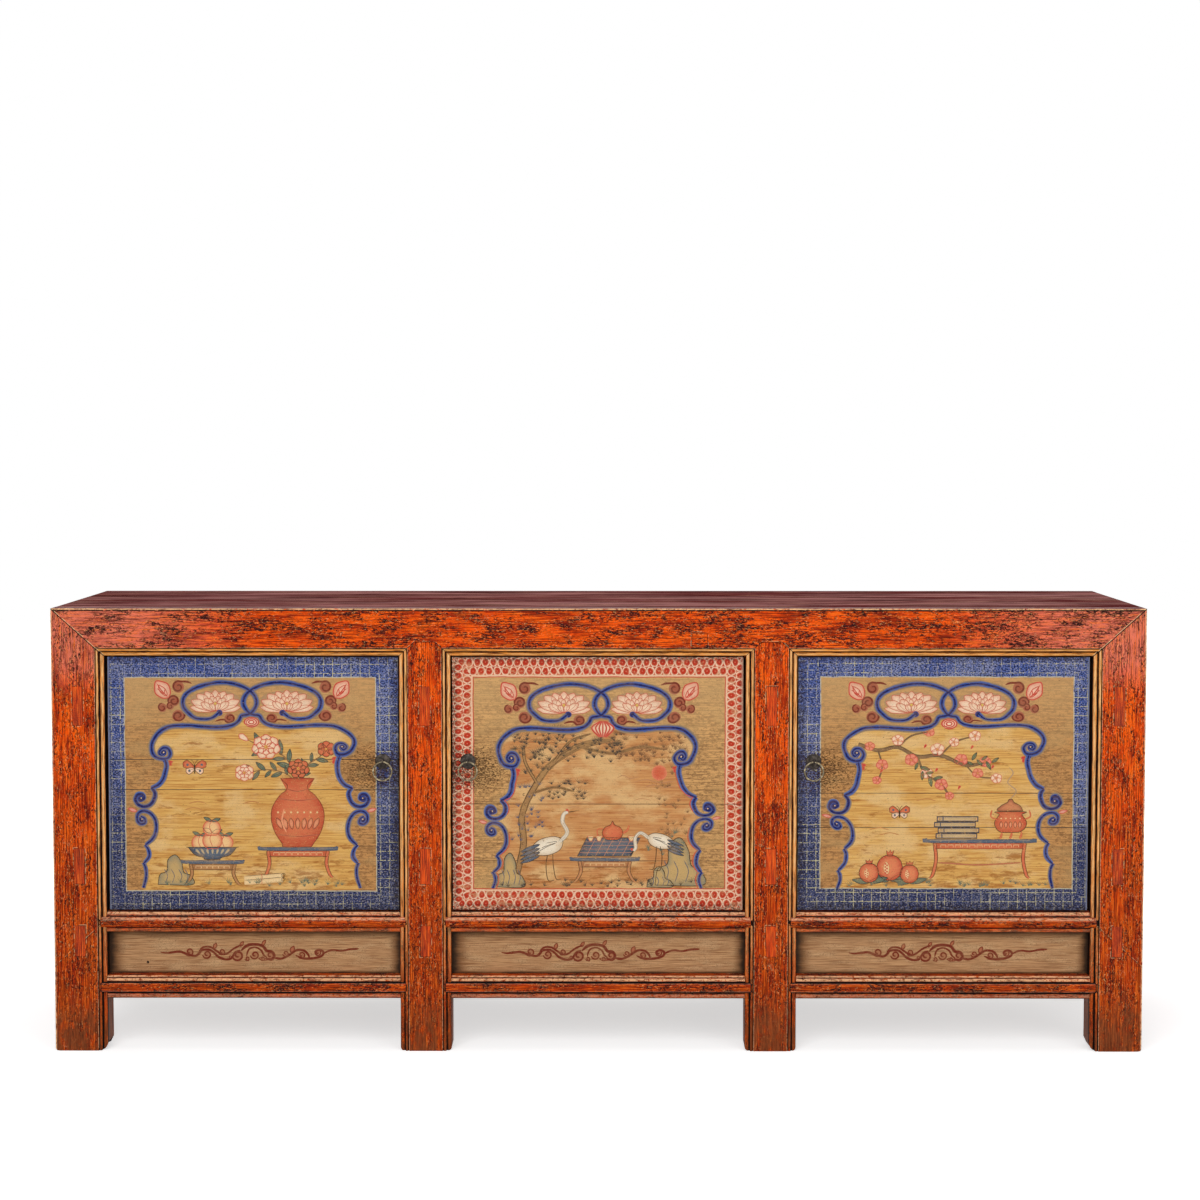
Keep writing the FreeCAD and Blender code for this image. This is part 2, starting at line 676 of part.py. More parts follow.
def pull_plate(bay):
    """The domed round plate behind a ring."""
    x = pull_x(bay)
    face = FRONT + DOOR_SET_BACK

    def place(radius, out):
        return FreeCAD.Vector(x + radius, face - out, PULL_HEIGHT)

    rim = (PLATE_RADIUS, PLATE_EDGE_THICK)
    crown = (0, PLATE_RISE)
    shoulder = (PLATE_RADIUS / 2, (PLATE_EDGE_THICK + 3 * PLATE_RISE) / 4)
    edges = [
        Part.LineSegment(place(0, 0), place(PLATE_RADIUS, 0)).toShape(),
        Part.LineSegment(place(PLATE_RADIUS, 0), place(*rim)).toShape(),
        Part.Arc(place(*rim), place(*shoulder), place(*crown)).toShape(),
        Part.LineSegment(place(*crown), place(0, 0)).toShape(),
    ]
    dome = Part.Face(Part.Wire(edges)).revolve(
        FreeCAD.Vector(x, face, PULL_HEIGHT), FreeCAD.Vector(0, 1, 0), 360
    )
    return dome.cut(rod(x, PIN_RADIUS + PIN_CLEARANCE, DOOR_SET_BACK - EYE_OUT, DOOR_BACK))


def pull_pin(bay):
    """The split pin: an eye in front, a shank through the door and two legs bent flat behind."""
    x = pull_x(bay)
    centre = FreeCAD.Vector(x, FRONT + DOOR_SET_BACK - EYE_OUT, PULL_HEIGHT)
    eye = Part.makeTorus(EYE_RADIUS, EYE_WIRE, centre, FreeCAD.Vector(1, 0, 0))
    shank = rod(x, PIN_RADIUS, DOOR_SET_BACK - EYE_OUT + EYE_RADIUS, DOOR_BACK + LEG_THICK)
    legs = block(
        (x - LEG_WIDE / 2, x + LEG_WIDE / 2),
        behind(DOOR_BACK, DOOR_BACK + LEG_THICK),
        (PULL_HEIGHT - LEG_LONG, PULL_HEIGHT + LEG_LONG),
    )
    return eye.fuse([shank, legs])


def pull_ring(bay):
    """The ring, hanging straight down from its eye."""
    centre = FreeCAD.Vector(
        pull_x(bay), FRONT + DOOR_SET_BACK - EYE_OUT, PULL_HEIGHT - RING_RADIUS
    )
    return Part.makeTorus(RING_RADIUS, RING_WIRE, centre, FreeCAD.Vector(0, 1, 0))


def door_boards(bay, shares):
    """A door's boards, cut out of its blank, with room for the battens, pegs and pin."""
    blank = door_blank(bay)
    room = battens(bay)
    room += [peg(bay, PEG_RADIUS + PEG_SEAT_CLEARANCE, *span) for span in peg_spans(0)]
    room += [rod(pull_x(bay), PIN_RADIUS + PIN_CLEARANCE, 0, DOOR_BACK)]
    blank = blank.cut(room)
    rise = DOOR_TOP - DOOR_BOTTOM
    heights = [DOOR_BOTTOM + rise * share for share in shares]
    x = (BAY_LEFTS[bay], BAY_LEFTS[bay] + BAY_WIDTH)
    y = behind(DOOR_SET_BACK, DOOR_BACK)
    return [blank.common(block(x, y, span)) for span in zip(heights, heights[1:])]


def add_front_frame(nodes, rails, grooved, rail_tenons, wedges, boards):
    """The mitred front frame, with every mortise and groove cut for what it holds."""
    sockets = [socket for bay in range(3) for socket in peg_sockets(bay)]
    post = corner_post(True)
    cutters = rails + grooved + rail_tenons + wedges + boards
    nodes["front_post_left"] = [post.cut(cutters)]
    nodes["front_post_right"] = [mirrored(post).cut(cutters)]
    for name, left in zip(("left", "right"), STILE_LEFTS):
        nodes["front_stile_" + name] = [stile(left, True).cut(cutters)]
    rail = top_rail(True).fuse([door_stop(left) for left in BAY_LEFTS])
    nodes["front_top_rail"] = [rail.cut(rail_tenons + boards + grooved + sockets)]
    return sockets


def add_rear_frame(nodes, rails, grooved, rail_tenons, wedges, boards):
    """The plain rear frame, made as the front one."""
    cutters = rails + grooved + rail_tenons + wedges + boards
    post = turned_to_back(corner_post(False))
    nodes["rear_post_left"] = [post.cut(cutters)]
    nodes["rear_post_right"] = [mirrored(post).cut(cutters)]
    for name, left in zip(("left", "right"), STILE_LEFTS):
        nodes["rear_stile_" + name] = [turned_to_back(stile(left, False)).cut(cutters)]
    nodes["rear_top_rail"] = [turned_to_back(top_rail(False)).cut(rail_tenons + boards + grooved)]


def add_doors(nodes):
    """The three doors with their battens, pegs and ring pulls."""
    shares = (LEFT_DOOR_SHARES, CENTRE_DOOR_SHARES, RIGHT_DOOR_SHARES)
    for bay, name in enumerate(BAY_NAMES):
        door = "door_" + name
        nodes[door + "_panel"] = door_boards(bay, shares[bay])
        nodes[door + "_battens"] = battens(bay)
        nodes[door + "_pivot_pegs"] = [peg(bay, PEG_RADIUS, *span) for span in peg_spans(0)]
        nodes["pull_plate_" + name] = [pull_plate(bay)]
        nodes["pull_pin_" + name] = [pull_pin(bay)]
        nodes["pull_ring_" + name] = [pull_ring(bay)]


def model():
    """Every node's solids by name."""
    nodes = {}
    sills = [sill_rail(left) for left in BAY_LEFTS]
    bottoms = [bottom_rail(left) for left in BAY_LEFTS]
    rears = [rear_rail(left) for left in BAY_LEFTS]
    aprons = [apron_panel(left) for left in BAY_LEFTS]
    backs = [back_boards(left) for left in BAY_LEFTS]
    sides = side_boards()
    all_sides = sides + [mirrored(board) for board in sides]
    all_backs = [board for bay in backs for board in bay]

    side_left = LEFT + SIDE_RAIL_SET_IN
    post_centre = LEFT + POST_WIDTH / 2
    side_rails = {level: depth_rail(side_left, post_centre, low, tall) for level, low, tall in LEVELS}
    inner_rails = [
        [depth_rail(x - DEPTH_RAIL_THICK / 2, x, low, tall) for _, low, tall in LEVELS]
        for x in STILE_CENTRES
    ]
    wedges = [tenon_wedge(x) for x in (post_centre, *STILE_CENTRES, -post_centre)]
    rear_wedges = [turned_to_back(wedge) for wedge in wedges]
    end_rail = end_top_rail()
    bearers = [bearer(x) for x in STILE_CENTRES]
    top_left = top_boards(LEFT, STILE_CENTRES[1])
    top_right = top_boards(STILE_CENTRES[1], -LEFT)

    through = list(side_rails.values()) + [mirrored(rail) for rail in side_rails.values()]
    through += [rail for group in inner_rails for rail in group]
    tenons = through + [end_rail, mirrored(end_rail)] + bearers
    boards = top_left + top_right
    sockets = add_front_frame(nodes, sills + bottoms, aprons + all_sides, tenons, wedges, boards)
    add_rear_frame(nodes, rears, all_backs + all_sides, tenons, rear_wedges, boards)

    for bay, name in enumerate(BAY_NAMES):
        nodes["sill_rail_" + name] = [sills[bay].cut(aprons + sockets)]
        nodes["bottom_rail_" + name] = [bottoms[bay].cut(aprons)]
        nodes["rear_bottom_rail_" + name] = [rears[bay].cut(all_backs)]
        nodes["apron_panel_" + name] = [aprons[bay]]
        nodes["back_panel_" + name] = backs[bay]
    for level, rail in side_rails.items():
        grooved = rail.cut(sides)
        nodes["side_rail_left_" + level] = [grooved]
        nodes["side_rail_right_" + level] = [mirrored(grooved)]
    grooved = end_rail.cut(sides)
    nodes["end_top_rail_left"] = [grooved]
    nodes["end_top_rail_right"] = [mirrored(grooved)]
    nodes["side_panels_left"] = sides
    nodes["side_panels_right"] = [mirrored(board) for board in sides]
    nodes["inner_rails_left"] = inner_rails[0]
    nodes["inner_rails_right"] = inner_rails[1]
    nodes["inner_bearers"] = bearers
    nodes["tenon_wedges"] = wedges + rear_wedges
    nodes["top_boards_left"] = top_left
    nodes["top_boards_right"] = top_right
    nodes["floor_boards"] = floor_boards()
    add_doors(nodes)
    return nodes


def write(nodes):
    """One STEP file per node."""
    os.makedirs("parts", exist_ok=True)
    for name, pieces in nodes.items():
        solids = [solid for piece in pieces for solid in piece.Solids]
        shape = solids[0] if len(solids) == 1 else Part.makeCompound(solids)
        shape.exportStep(os.path.join("parts", name + ".step"))
        print(name, len(solids), round(shape.Volume / 1000), "cm3", shape.isValid())


write(model())
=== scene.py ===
"""Painted sideboard: moulded and painted front, painted doors, ring pulls and planked top.

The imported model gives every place. The pieces here dress its front frame, doors, aprons, pulls and top,
and every other node gets a procedural finish. Sizes are in millimetres until a mesh is made.
"""

from __future__ import annotations

import itertools
import json
import logging
import math
from dataclasses import dataclass, field
from enum import Enum

import bmesh
import bpy
import numpy as np
from mathutils import Euler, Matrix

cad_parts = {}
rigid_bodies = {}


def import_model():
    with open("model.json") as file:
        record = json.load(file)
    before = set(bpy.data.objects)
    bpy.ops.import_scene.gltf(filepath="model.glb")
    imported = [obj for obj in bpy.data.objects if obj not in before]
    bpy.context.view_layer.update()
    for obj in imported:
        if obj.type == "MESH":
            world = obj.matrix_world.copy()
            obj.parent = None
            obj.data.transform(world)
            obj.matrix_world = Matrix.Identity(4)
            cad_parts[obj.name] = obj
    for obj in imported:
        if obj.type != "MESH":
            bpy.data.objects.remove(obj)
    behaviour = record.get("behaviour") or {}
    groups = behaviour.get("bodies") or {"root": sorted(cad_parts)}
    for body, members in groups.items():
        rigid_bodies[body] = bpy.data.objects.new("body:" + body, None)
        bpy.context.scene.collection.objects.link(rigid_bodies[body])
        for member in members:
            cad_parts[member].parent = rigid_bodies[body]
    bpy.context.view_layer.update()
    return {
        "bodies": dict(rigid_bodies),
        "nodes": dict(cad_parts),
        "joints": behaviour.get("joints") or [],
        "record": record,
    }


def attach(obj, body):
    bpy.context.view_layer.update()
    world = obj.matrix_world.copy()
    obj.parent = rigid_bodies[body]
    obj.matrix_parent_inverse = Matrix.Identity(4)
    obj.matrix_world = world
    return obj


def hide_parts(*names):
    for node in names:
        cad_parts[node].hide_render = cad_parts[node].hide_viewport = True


log = logging.getLogger("sideboard")

Place = tuple[float, float]
Colour = tuple[float, float, float, float]

METRE = 1000.0
FRONT = -229.3
HEIGHT = 858.0
LEFT = -1050.0
POST_WIDTH = 101.0
STILE_WIDTH = 99.0
FRAME_DEPTH = 52.0
TOP_RAIL_TALL = 91.3
RAIL_SPREAD = TOP_RAIL_TALL / POST_WIDTH
STILE_HEAD = 27.0
DOOR_HEAD = HEIGHT - TOP_RAIL_TALL
BAY_WIDTH = (-2 * LEFT - 2 * POST_WIDTH - 2 * STILE_WIDTH) / 3
BAY_LEFTS = tuple(LEFT + POST_WIDTH + bay * (BAY_WIDTH + STILE_WIDTH) for bay in range(3))
STILE_LEFTS = tuple(x + BAY_WIDTH for x in BAY_LEFTS[:2])
STILE_MIDDLE = STILE_LEFTS[1] + STILE_WIDTH / 2
DOOR_FACE = FRONT + 12.0
APRON_DEPTH = 26.0


class Bay(Enum):
    """The three openings, counted from the left."""

    LEFT = 0
    CENTRE = 1
    RIGHT = 2

    @property
    def word(self) -> str:
        """The bay's name as the nodes write it."""
        return self.name.lower()

    @property
    def left(self) -> float:
        """X of the opening's left side."""
        return BAY_LEFTS[self.value]


class Grain(Enum):
    """Which way a timber's fibres run: along Z, X or Y."""

    UPRIGHT = 2
    LEVEL = 0
    DEEP = 1


class Outside(Enum):
    """Which faces of a board carry paint."""

    NOWHERE = "none"
    TOP = "top"
    FRONT = "front"
    ENDS = "ends"


def colour(red: int, green: int, blue: int) -> Colour:
    """A screen colour from 0 to 255 as a linear colour for a shader."""
    parts = (c / 255 for c in (red, green, blue))
    return (*(p / 12.92 if p <= 0.04045 else ((p + 0.055) / 1.055) ** 2.4 for p in parts), 1.0)


def value_noise(points: np.ndarray, size: float, seed: int) -> np.ndarray:
    """Smooth random values between -1 and 1.

    Args:
        points: Places, one a row, in millimetres.
        size: Length over which the value changes.
        seed: Picks one pattern.

    Returns:
        One value a place: the values at the eight corners of a lattice cell, blended by 3t^2 - 2t^3.
    """
    cell = np.asarray(points, dtype=float) / size
    base = np.floor(cell).astype(np.int64)
    part = cell - base
    part = part * part * (3 - 2 * part)
    total = np.zeros(len(cell))
    for corner in itertools.product((0, 1), repeat=3):
        key = (base + corner) * (73856093, 19349663, 83492791)
        mixed = key[:, 0] ^ key[:, 1] ^ key[:, 2] ^ (seed * 2654435761)
        mixed = ((mixed ^ (mixed >> 13)) * 1274126177) & 0x7FFFFFFF
        weight = np.prod(np.where(corner, part, 1 - part), axis=1)
        total += weight * ((mixed % 65536) / 32767.5 - 1)
    return total


def arc_through(a: Place, b: Place, c: Place, count: int) -> np.ndarray:
    """Evenly turned points on the circle whose middle is equally far from three points.

    Args:
        a: First point.
        b: A point between.
        c: Last point.
        count: How many points.

    Returns:
        The points, both ends included.
    """
    (ax, ay), (bx, by), (cx, cy) = a, b, c
    d = 2 * (ax * (by - cy) + bx * (cy - ay) + cx * (ay - by))
    squares = [x * x + y * y for x, y in (a, b, c)]
    ox = (squares[0] * (by - cy) + squares[1] * (cy - ay) + squares[2] * (ay - by)) / d
    oy = (squares[0] * (cx - bx) + squares[1] * (ax - cx) + squares[2] * (bx - ax)) / d
    start, mid, end = (math.atan2(y - oy, x - ox) for x, y in (a, b, c))
    turn = (end - start) % (2 * math.pi)
    if (mid - start) % (2 * math.pi) > turn:
        turn -= 2 * math.pi
    angles = start + turn * np.linspace(0, 1, count)
    radius = math.hypot(ax - ox, ay - oy)
    return np.column_stack((ox + radius * np.cos(angles), oy + radius * np.sin(angles)))


def stations(low: float, high: float, step: float, fine: tuple[Place, ...] = ()) -> np.ndarray:
    """Places along a timber: every step, and closer inside the fine stretches.

    Args:
        low: First place.
        high: Last place.
        step: Usual spacing.
        fine: Stretches where cuts or mitres need places every 1.5 mm.

    Returns:
        The sorted places, both ends included.
    """
    places = [np.linspace(low, high, max(2, round((high - low) / step)))]
    places += [np.arange(max(a, low), min(b, high), 1.5) for a, b in fine]
    return np.unique(np.round(np.concatenate(places), 3))


@dataclass
class Shell:
    """One closed or open surface: its points, its faces and four values kept at each point."""

    points: np.ndarray
    faces: list[np.ndarray]
    wear: np.ndarray

    @staticmethod
    def joined(shells: list["Shell"]) -> "Shell":
        """Several surfaces as one.

        Args:
            shells: The surfaces.

        Returns:
            One surface whose faces count its points from the first shell on.
        """
        starts = np.cumsum([0] + [len(s.points) for s in shells[:-1]])
        faces = [face + start for s, start in zip(shells, starts) for face in s.faces]
        points, wear = (np.concatenate([getattr(s, part) for s in shells]) for part in ("points", "wear"))
        return Shell(points, faces, wear)


def grid_faces(rows: int, columns: int, closed: bool = False) -> np.ndarray:
    """Four-sided faces of a grid of points.

    Args:
        rows: Rows of points.
        columns: Points in a row.
        closed: Joins the last column to the first.

    Returns:
        The point numbers of each face.
    """
    row = np.arange(rows - 1)[:, None] * columns
    column = np.arange(columns if closed else columns - 1)[None, :]
    after = (column + 1) % columns
    a, b = row + column, row + after
    return np.stack((a, b, b + columns, a + columns), axis=-1).reshape(-1, 4)


def make_piece(
    name: str, shell: Shell, material: bpy.types.Material, weld: bool = True, smooth: bool = True
) -> bpy.types.Object:
    """A mesh object from a surface in millimetres.

    Args:
        name: The piece's plain name.
        shell: The surface.
        material: Its finish.
        weld: Joins points that coincide and turns all faces outwards.
        smooth: Shades faces smoothly except over edges sharper than 32 degrees.

    Returns:
        The linked object, with the shell's values in the colour attribute "wear".
    """
    mesh = bpy.data.meshes.new(name)
    mesh.vertices.add(len(shell.points))
    mesh.vertices.foreach_set("co", (shell.points / METRE).astype(np.float32).ravel())
    corners = np.concatenate([face.ravel() for face in shell.faces])
    sizes = np.concatenate([np.full(len(face), face.shape[1]) for face in shell.faces])
    mesh.loops.add(len(corners))
    mesh.loops.foreach_set("vertex_index", corners.astype(np.int32))
    mesh.polygons.add(len(sizes))
    mesh.polygons.foreach_set("loop_start", (np.cumsum(sizes) - sizes).astype(np.int32))
    mesh.update(calc_edges=True)
    attribute = mesh.color_attributes.new("wear", "FLOAT_COLOR", "POINT")
    attribute.data.foreach_set("color", shell.wear.astype(np.float32).ravel())
    if weld:
        work = bmesh.new()
        work.from_mesh(mesh)
        bmesh.ops.remove_doubles(work, verts=work.verts, dist=2e-6)
        bmesh.ops.dissolve_degenerate(work, edges=work.edges, dist=1e-6)
        bmesh.ops.recalc_face_normals(work, faces=work.faces)
        work.to_mesh(mesh)
        work.free()
    mesh.materials.append(material)
    piece = bpy.data.objects.new(name, mesh)
    bpy.context.collection.objects.link(piece)
    mesh.polygons.foreach_set("use_smooth", np.full(len(mesh.polygons), smooth))
    if smooth:
        mesh.set_sharp_from_angle(angle=math.radians(32))
    log.info("%s: %d points", name, len(mesh.vertices))
    return piece


def section_normals(loop: np.ndarray) -> np.ndarray:
    """Unit normals of a closed section, each at right angles to the line between its neighbours.

    Args:
        loop: The section's points.

    Returns:
        One outward normal a point.
    """
    along = np.roll(loop, -1, axis=0) - np.roll(loop, 1, axis=0)
    normal = np.column_stack((along[:, 1], -along[:, 0]))
    area = np.sum(loop[:, 0] * np.roll(loop[:, 1], -1) - np.roll(loop[:, 0], -1) * loop[:, 1])
    normal *= np.sign(area)
    return normal / np.maximum(np.linalg.norm(normal, axis=1, keepdims=True), 1e-9)


def densified(loop: np.ndarray, longest: float) -> np.ndarray:
    """A closed section with its long straight runs divided evenly.

    Args:
        loop: Rows of two places and their values.
        longest: Length that no run passes.

    Returns:
        The rows with more between them, their values blended.
    """
    rows = []
    for here, after in zip(loop, np.roll(loop, -1, axis=0)):
        count = max(1, math.ceil(np.hypot(*(after[:2] - here[:2])) / longest))
        rows.extend(here + (after - here) * step / count for step in range(count))
    return np.array(rows)


@dataclass(frozen=True)
class Worn:
    """How far use and age have moved a timber's surface, in millimetres."""

    swell: float = 0.28
    ripple: float = 0.10
    chip: float = 0.7


APRON_WORN = Worn(0.2, 0.08, 0.0)
TOP_WORN = Worn(0.12, 0.02, 0.0)
DOOR_WORN = Worn(0.14, 0.06, 0.0)


def unevenness(points: np.ndarray, grain: Grain, worn: Worn, seed: int) -> np.ndarray:
    """How far a worn surface stands out: two value noises, drawn out along the grain.

    Args:
        points: Places on the surface.
        grain: Which way the noise is drawn out.
        worn: Strength of both noises.
        seed: Picks the pattern.

    Returns:
        One height a place.
    """
    stretch = np.array((1.0, 1.0, 0.25) if grain is Grain.UPRIGHT else (0.25, 1.0, 1.0))
    broad = worn.swell * value_noise(points * stretch, 21.0, seed)
    return broad + worn.ripple * value_noise(points * stretch, 6.0, seed + 7)


def sweep(
    loop: np.ndarray,
    places: np.ndarray,
    low: np.ndarray | float,
    high: np.ndarray | float,
    grain: Grain,
    origin: Place,
    worn: Worn = Worn(),
    seed: int = 1,
    fibres: Grain | None = None,
) -> Shell:
    """A closed timber: a section carried along its length, each of its points between its own two ends.

    Args:
        loop: Rows of across, behind, crest, groove, arris and bead.
        places: Places along the length.
        low: Where each section point starts.
        high: Where each section point ends.
        grain: UPRIGHT runs along Z with across on X; LEVEL runs along X with across on Z.
        origin: What across and behind are measured from, as (X or Z, Y).
        worn: Strength of the uneven surface.
        seed: Picks the pattern.
        fibres: Which way the uneven surface is drawn out, where that isn't the way of the sweep.

    Returns:
        The surface, moved along the section's normals by two value noises, and inwards at chipped arrises.
    """
    low, high = (np.broadcast_to(end, len(loop)) for end in (low, high))
    along = np.clip(places[:, None], low, high)
    across = np.broadcast_to(origin[0] + loop[:, 0], along.shape)
    behind = np.broadcast_to(origin[1] + loop[:, 1], along.shape)
    order = (across, behind, along) if grain is Grain.UPRIGHT else (along, behind, across)
    points = np.stack(order, axis=-1).reshape(-1, 3)
    tags = np.broadcast_to(loop[:, 2:6], (*along.shape, 4)).reshape(-1, 4)
    chips = np.clip(value_noise(points, 9.0, seed + 13) - 0.35, 0, 1) * worn.chip * 1.6
    offset = unevenness(points, fibres or grain, worn, seed) - chips * tags[:, 2]
    normal = np.broadcast_to(section_normals(loop[:, :2]), (*along.shape, 2)).reshape(-1, 2)
    points[:, 0 if grain is Grain.UPRIGHT else 2] += normal[:, 0] * offset
    points[:, 1] += normal[:, 1] * offset
    rows, columns = along.shape
    caps = [np.arange(columns)[None, ::-1], (rows - 1) * columns + np.arange(columns)[None, :]]
    return Shell(points, [grid_faces(rows, columns, closed=True), *caps], tags.copy())


@dataclass(frozen=True, eq=False)
class Value:
    """A number that a material works out at each point, with the usual sums."""

    graph: "Graph"
    socket: bpy.types.NodeSocket

    def __add__(self, other: object) -> "Value":
        """The sum."""
        return self.graph.maths("ADD", self, other)

    def __sub__(self, other: object) -> "Value":
        """The difference."""
        return self.graph.maths("SUBTRACT", self, other)

    def __rsub__(self, other: float) -> "Value":
        """A plain number less this value."""
        return self.graph.maths("SUBTRACT", other, self)

    def __mul__(self, other: object) -> "Value":
        """The product."""
        return self.graph.maths("MULTIPLY", self, other)

    def __truediv__(self, other: float) -> "Value":
        """The quotient."""
        return self.graph.maths("DIVIDE", self, other)

    def __abs__(self) -> "Value":
        """The size without its sign."""
        return self.graph.maths("ABSOLUTE", self)

    def max(self, other: object) -> "Value":
        """The larger of two."""
        return self.graph.maths("MAXIMUM", self, other)

    def ramp(self, start: float, end: float) -> "Value":
        """0 before start and 1 past end, with 3t^2 - 2t^3 between.

        Args:
            start: Where it begins to change.
            end: Where it is done; lower than start turns it round.

        Returns:
            The ramp.
        """
        node = self.graph.node("ShaderNodeMapRange", interpolation_type="SMOOTHSTEP")
        flip = float(end < start)
        ends = (self, min(start, end), max(start, end), flip, 1 - flip)
        for name, value in zip(("Value", "From Min", "From Max", "To Min", "To Max"), ends):
            self.graph.link(value, node.inputs[name])
        return Value(self.graph, node.outputs["Result"])

    def near(self, middle: float, half: float, soft: float) -> "Value":
        """1 within half of middle, fading over soft."""
        return abs(self - middle).ramp(half + soft, half)


@dataclass(eq=False)
class Graph:
    """One material's nodes, built step by step; lengths are in millimetres."""

    name: str
    roughness: float = 0.5
    specular: float = 0.35
    grain: Grain = Grain.LEVEL
    relief: Value | None = None

    def __post_init__(self) -> None:
        """Starts the material and splits its object coordinates."""
        self.material = bpy.data.materials.new(self.name)
        self.material.use_nodes = True
        self.tree = self.material.node_tree
        self.shader = self.tree.nodes["Principled BSDF"]
        self.shader.inputs["Roughness"].default_value = self.roughness
        self.shader.inputs["Specular IOR Level"].default_value = self.specular
        self.place = self.node("ShaderNodeTexCoord").outputs["Object"]
        split = self.node("ShaderNodeSeparateXYZ")
        self.link(self.place, split.inputs[0])
        self.x, self.y, self.z = (Value(self, out) * METRE for out in split.outputs)

    def node(self, kind: str, **settings: object) -> bpy.types.Node:
        """A new node.

        Args:
            kind: Its type.
            settings: What is set on it.

        Returns:
            The node.
        """
        node = self.tree.nodes.new(kind)
        for key, value in settings.items():
            setattr(node, key, value)
        return node

    def link(self, source: object, target: bpy.types.NodeSocket) -> None:
        """Joins a value to an input, or writes a plain number or colour on it.

        Args:
            source: A value, an output, a number or a colour.
            target: The input.
        """
        source = source.socket if isinstance(source, Value) else source
        if isinstance(source, bpy.types.NodeSocket):
            self.tree.links.new(source, target)
        else:
            target.default_value = source

    def maths(self, operation: str, a: object, b: object = 0.0) -> Value:
        """One sum of two values.

        Args:
            operation: What is done.
            a: The first value.
            b: The second value.

        Returns:
            The result.
        """
        node = self.node("ShaderNodeMath", operation=operation)
        self.link(a, node.inputs[0])
        self.link(b, node.inputs[1])
        return Value(self, node.outputs[0])

    def noise(self, size: tuple[float, ...], detail: float, rough: float, seed: float) -> Value:
        """Fractal noise from 0 to 1.

        Args:
            size: Grain size along X, Y and Z, or a fine and a long size for the timber's own grain.
            detail: How many finer layers it has.
            rough: How strong the finer layers are.
            seed: Moves the pattern.

        Returns:
            The noise.
        """
        if len(size) == 2:
            size = tuple(size[axis == self.grain.value] for axis in range(3))
        mapping = self.node("ShaderNodeMapping")
        mapping.inputs["Scale"].default_value = tuple(METRE / s for s in size)
        mapping.inputs["Location"].default_value = (seed * 3.7, seed * 1.9, seed * 5.3)
        self.link(self.place, mapping.inputs["Vector"])
        node = self.node("ShaderNodeTexNoise")
        for name, value in (("Scale", 1.0), ("Detail", detail), ("Roughness", rough), ("Vector", mapping.outputs[0])):
            self.link(value, node.inputs[name])
        return Value(self, node.outputs["Fac"])

    def mix(self, amount: object, low: object, high: object) -> Value:
        """A blend of two colours.

        Args:
            amount: 0 for the first, 1 for the second.
            low: The first colour.
            high: The second colour.

        Returns:
            The blend.
        """
        node = self.node("ShaderNodeMix", data_type="RGBA")
        for index, value in ((0, amount), (6, low), (7, high)):
            self.link(value, node.inputs[index])
        return Value(self, node.outputs[2])

    def coats(self, base: object, *coats: tuple) -> Value:
        """Colours laid one over another.

        Args:
            base: The lowest colour.
            coats: How far each next coat covers, and its colour.

        Returns:
            The colour on top.
        """
        for amount, tint in coats:
            base = self.mix(amount, base, tint)
        return base

    def attribute(self) -> tuple[Value, ...]:
        """The values that each mesh keeps in its colour attribute "wear", which carry worn spots as well as painted
        highlight and painted shade.

        Returns:
            Crest, groove, arris and bead.
        """
        node = self.node("ShaderNodeAttribute", attribute_name="wear")
        split = self.node("ShaderNodeSeparateColor")
        self.link(node.outputs["Color"], split.inputs[0])
        return tuple(Value(self, out) for out in (*split.outputs[:3], node.outputs["Alpha"]))

    def raised(self, *reliefs: tuple[Value, float]) -> None:
        """Adds relief.

        Args:
            reliefs: Values, and how many millimetres each stands out where it is 1.
        """
        for value, height in reliefs:
            term = value * height
            self.relief = term if self.relief is None else self.relief + term

    def finish(self, base: object, roughness: Value | None = None) -> bpy.types.Material:
        """Joins the colour, roughness and relief to the shader.

        Args:
            base: The colour.
            roughness: The roughness, where it changes over the surface.

        Returns:
            The material.
        """
        self.link(base, self.shader.inputs["Base Color"])
        if roughness is not None:
            self.link(roughness, self.shader.inputs["Roughness"])
        if self.relief is not None:
            bump = self.node("ShaderNodeBump")
            for name, value in (("Strength", 1.0), ("Distance", 1 / METRE), ("Height", self.relief)):
                self.link(value, bump.inputs[name])
            self.link(bump.outputs[0], self.shader.inputs["Normal"])
        return self.material


FIBRE_DARK = colour(90, 24, 6)
FIBRE_LIGHT = colour(244, 116, 32)


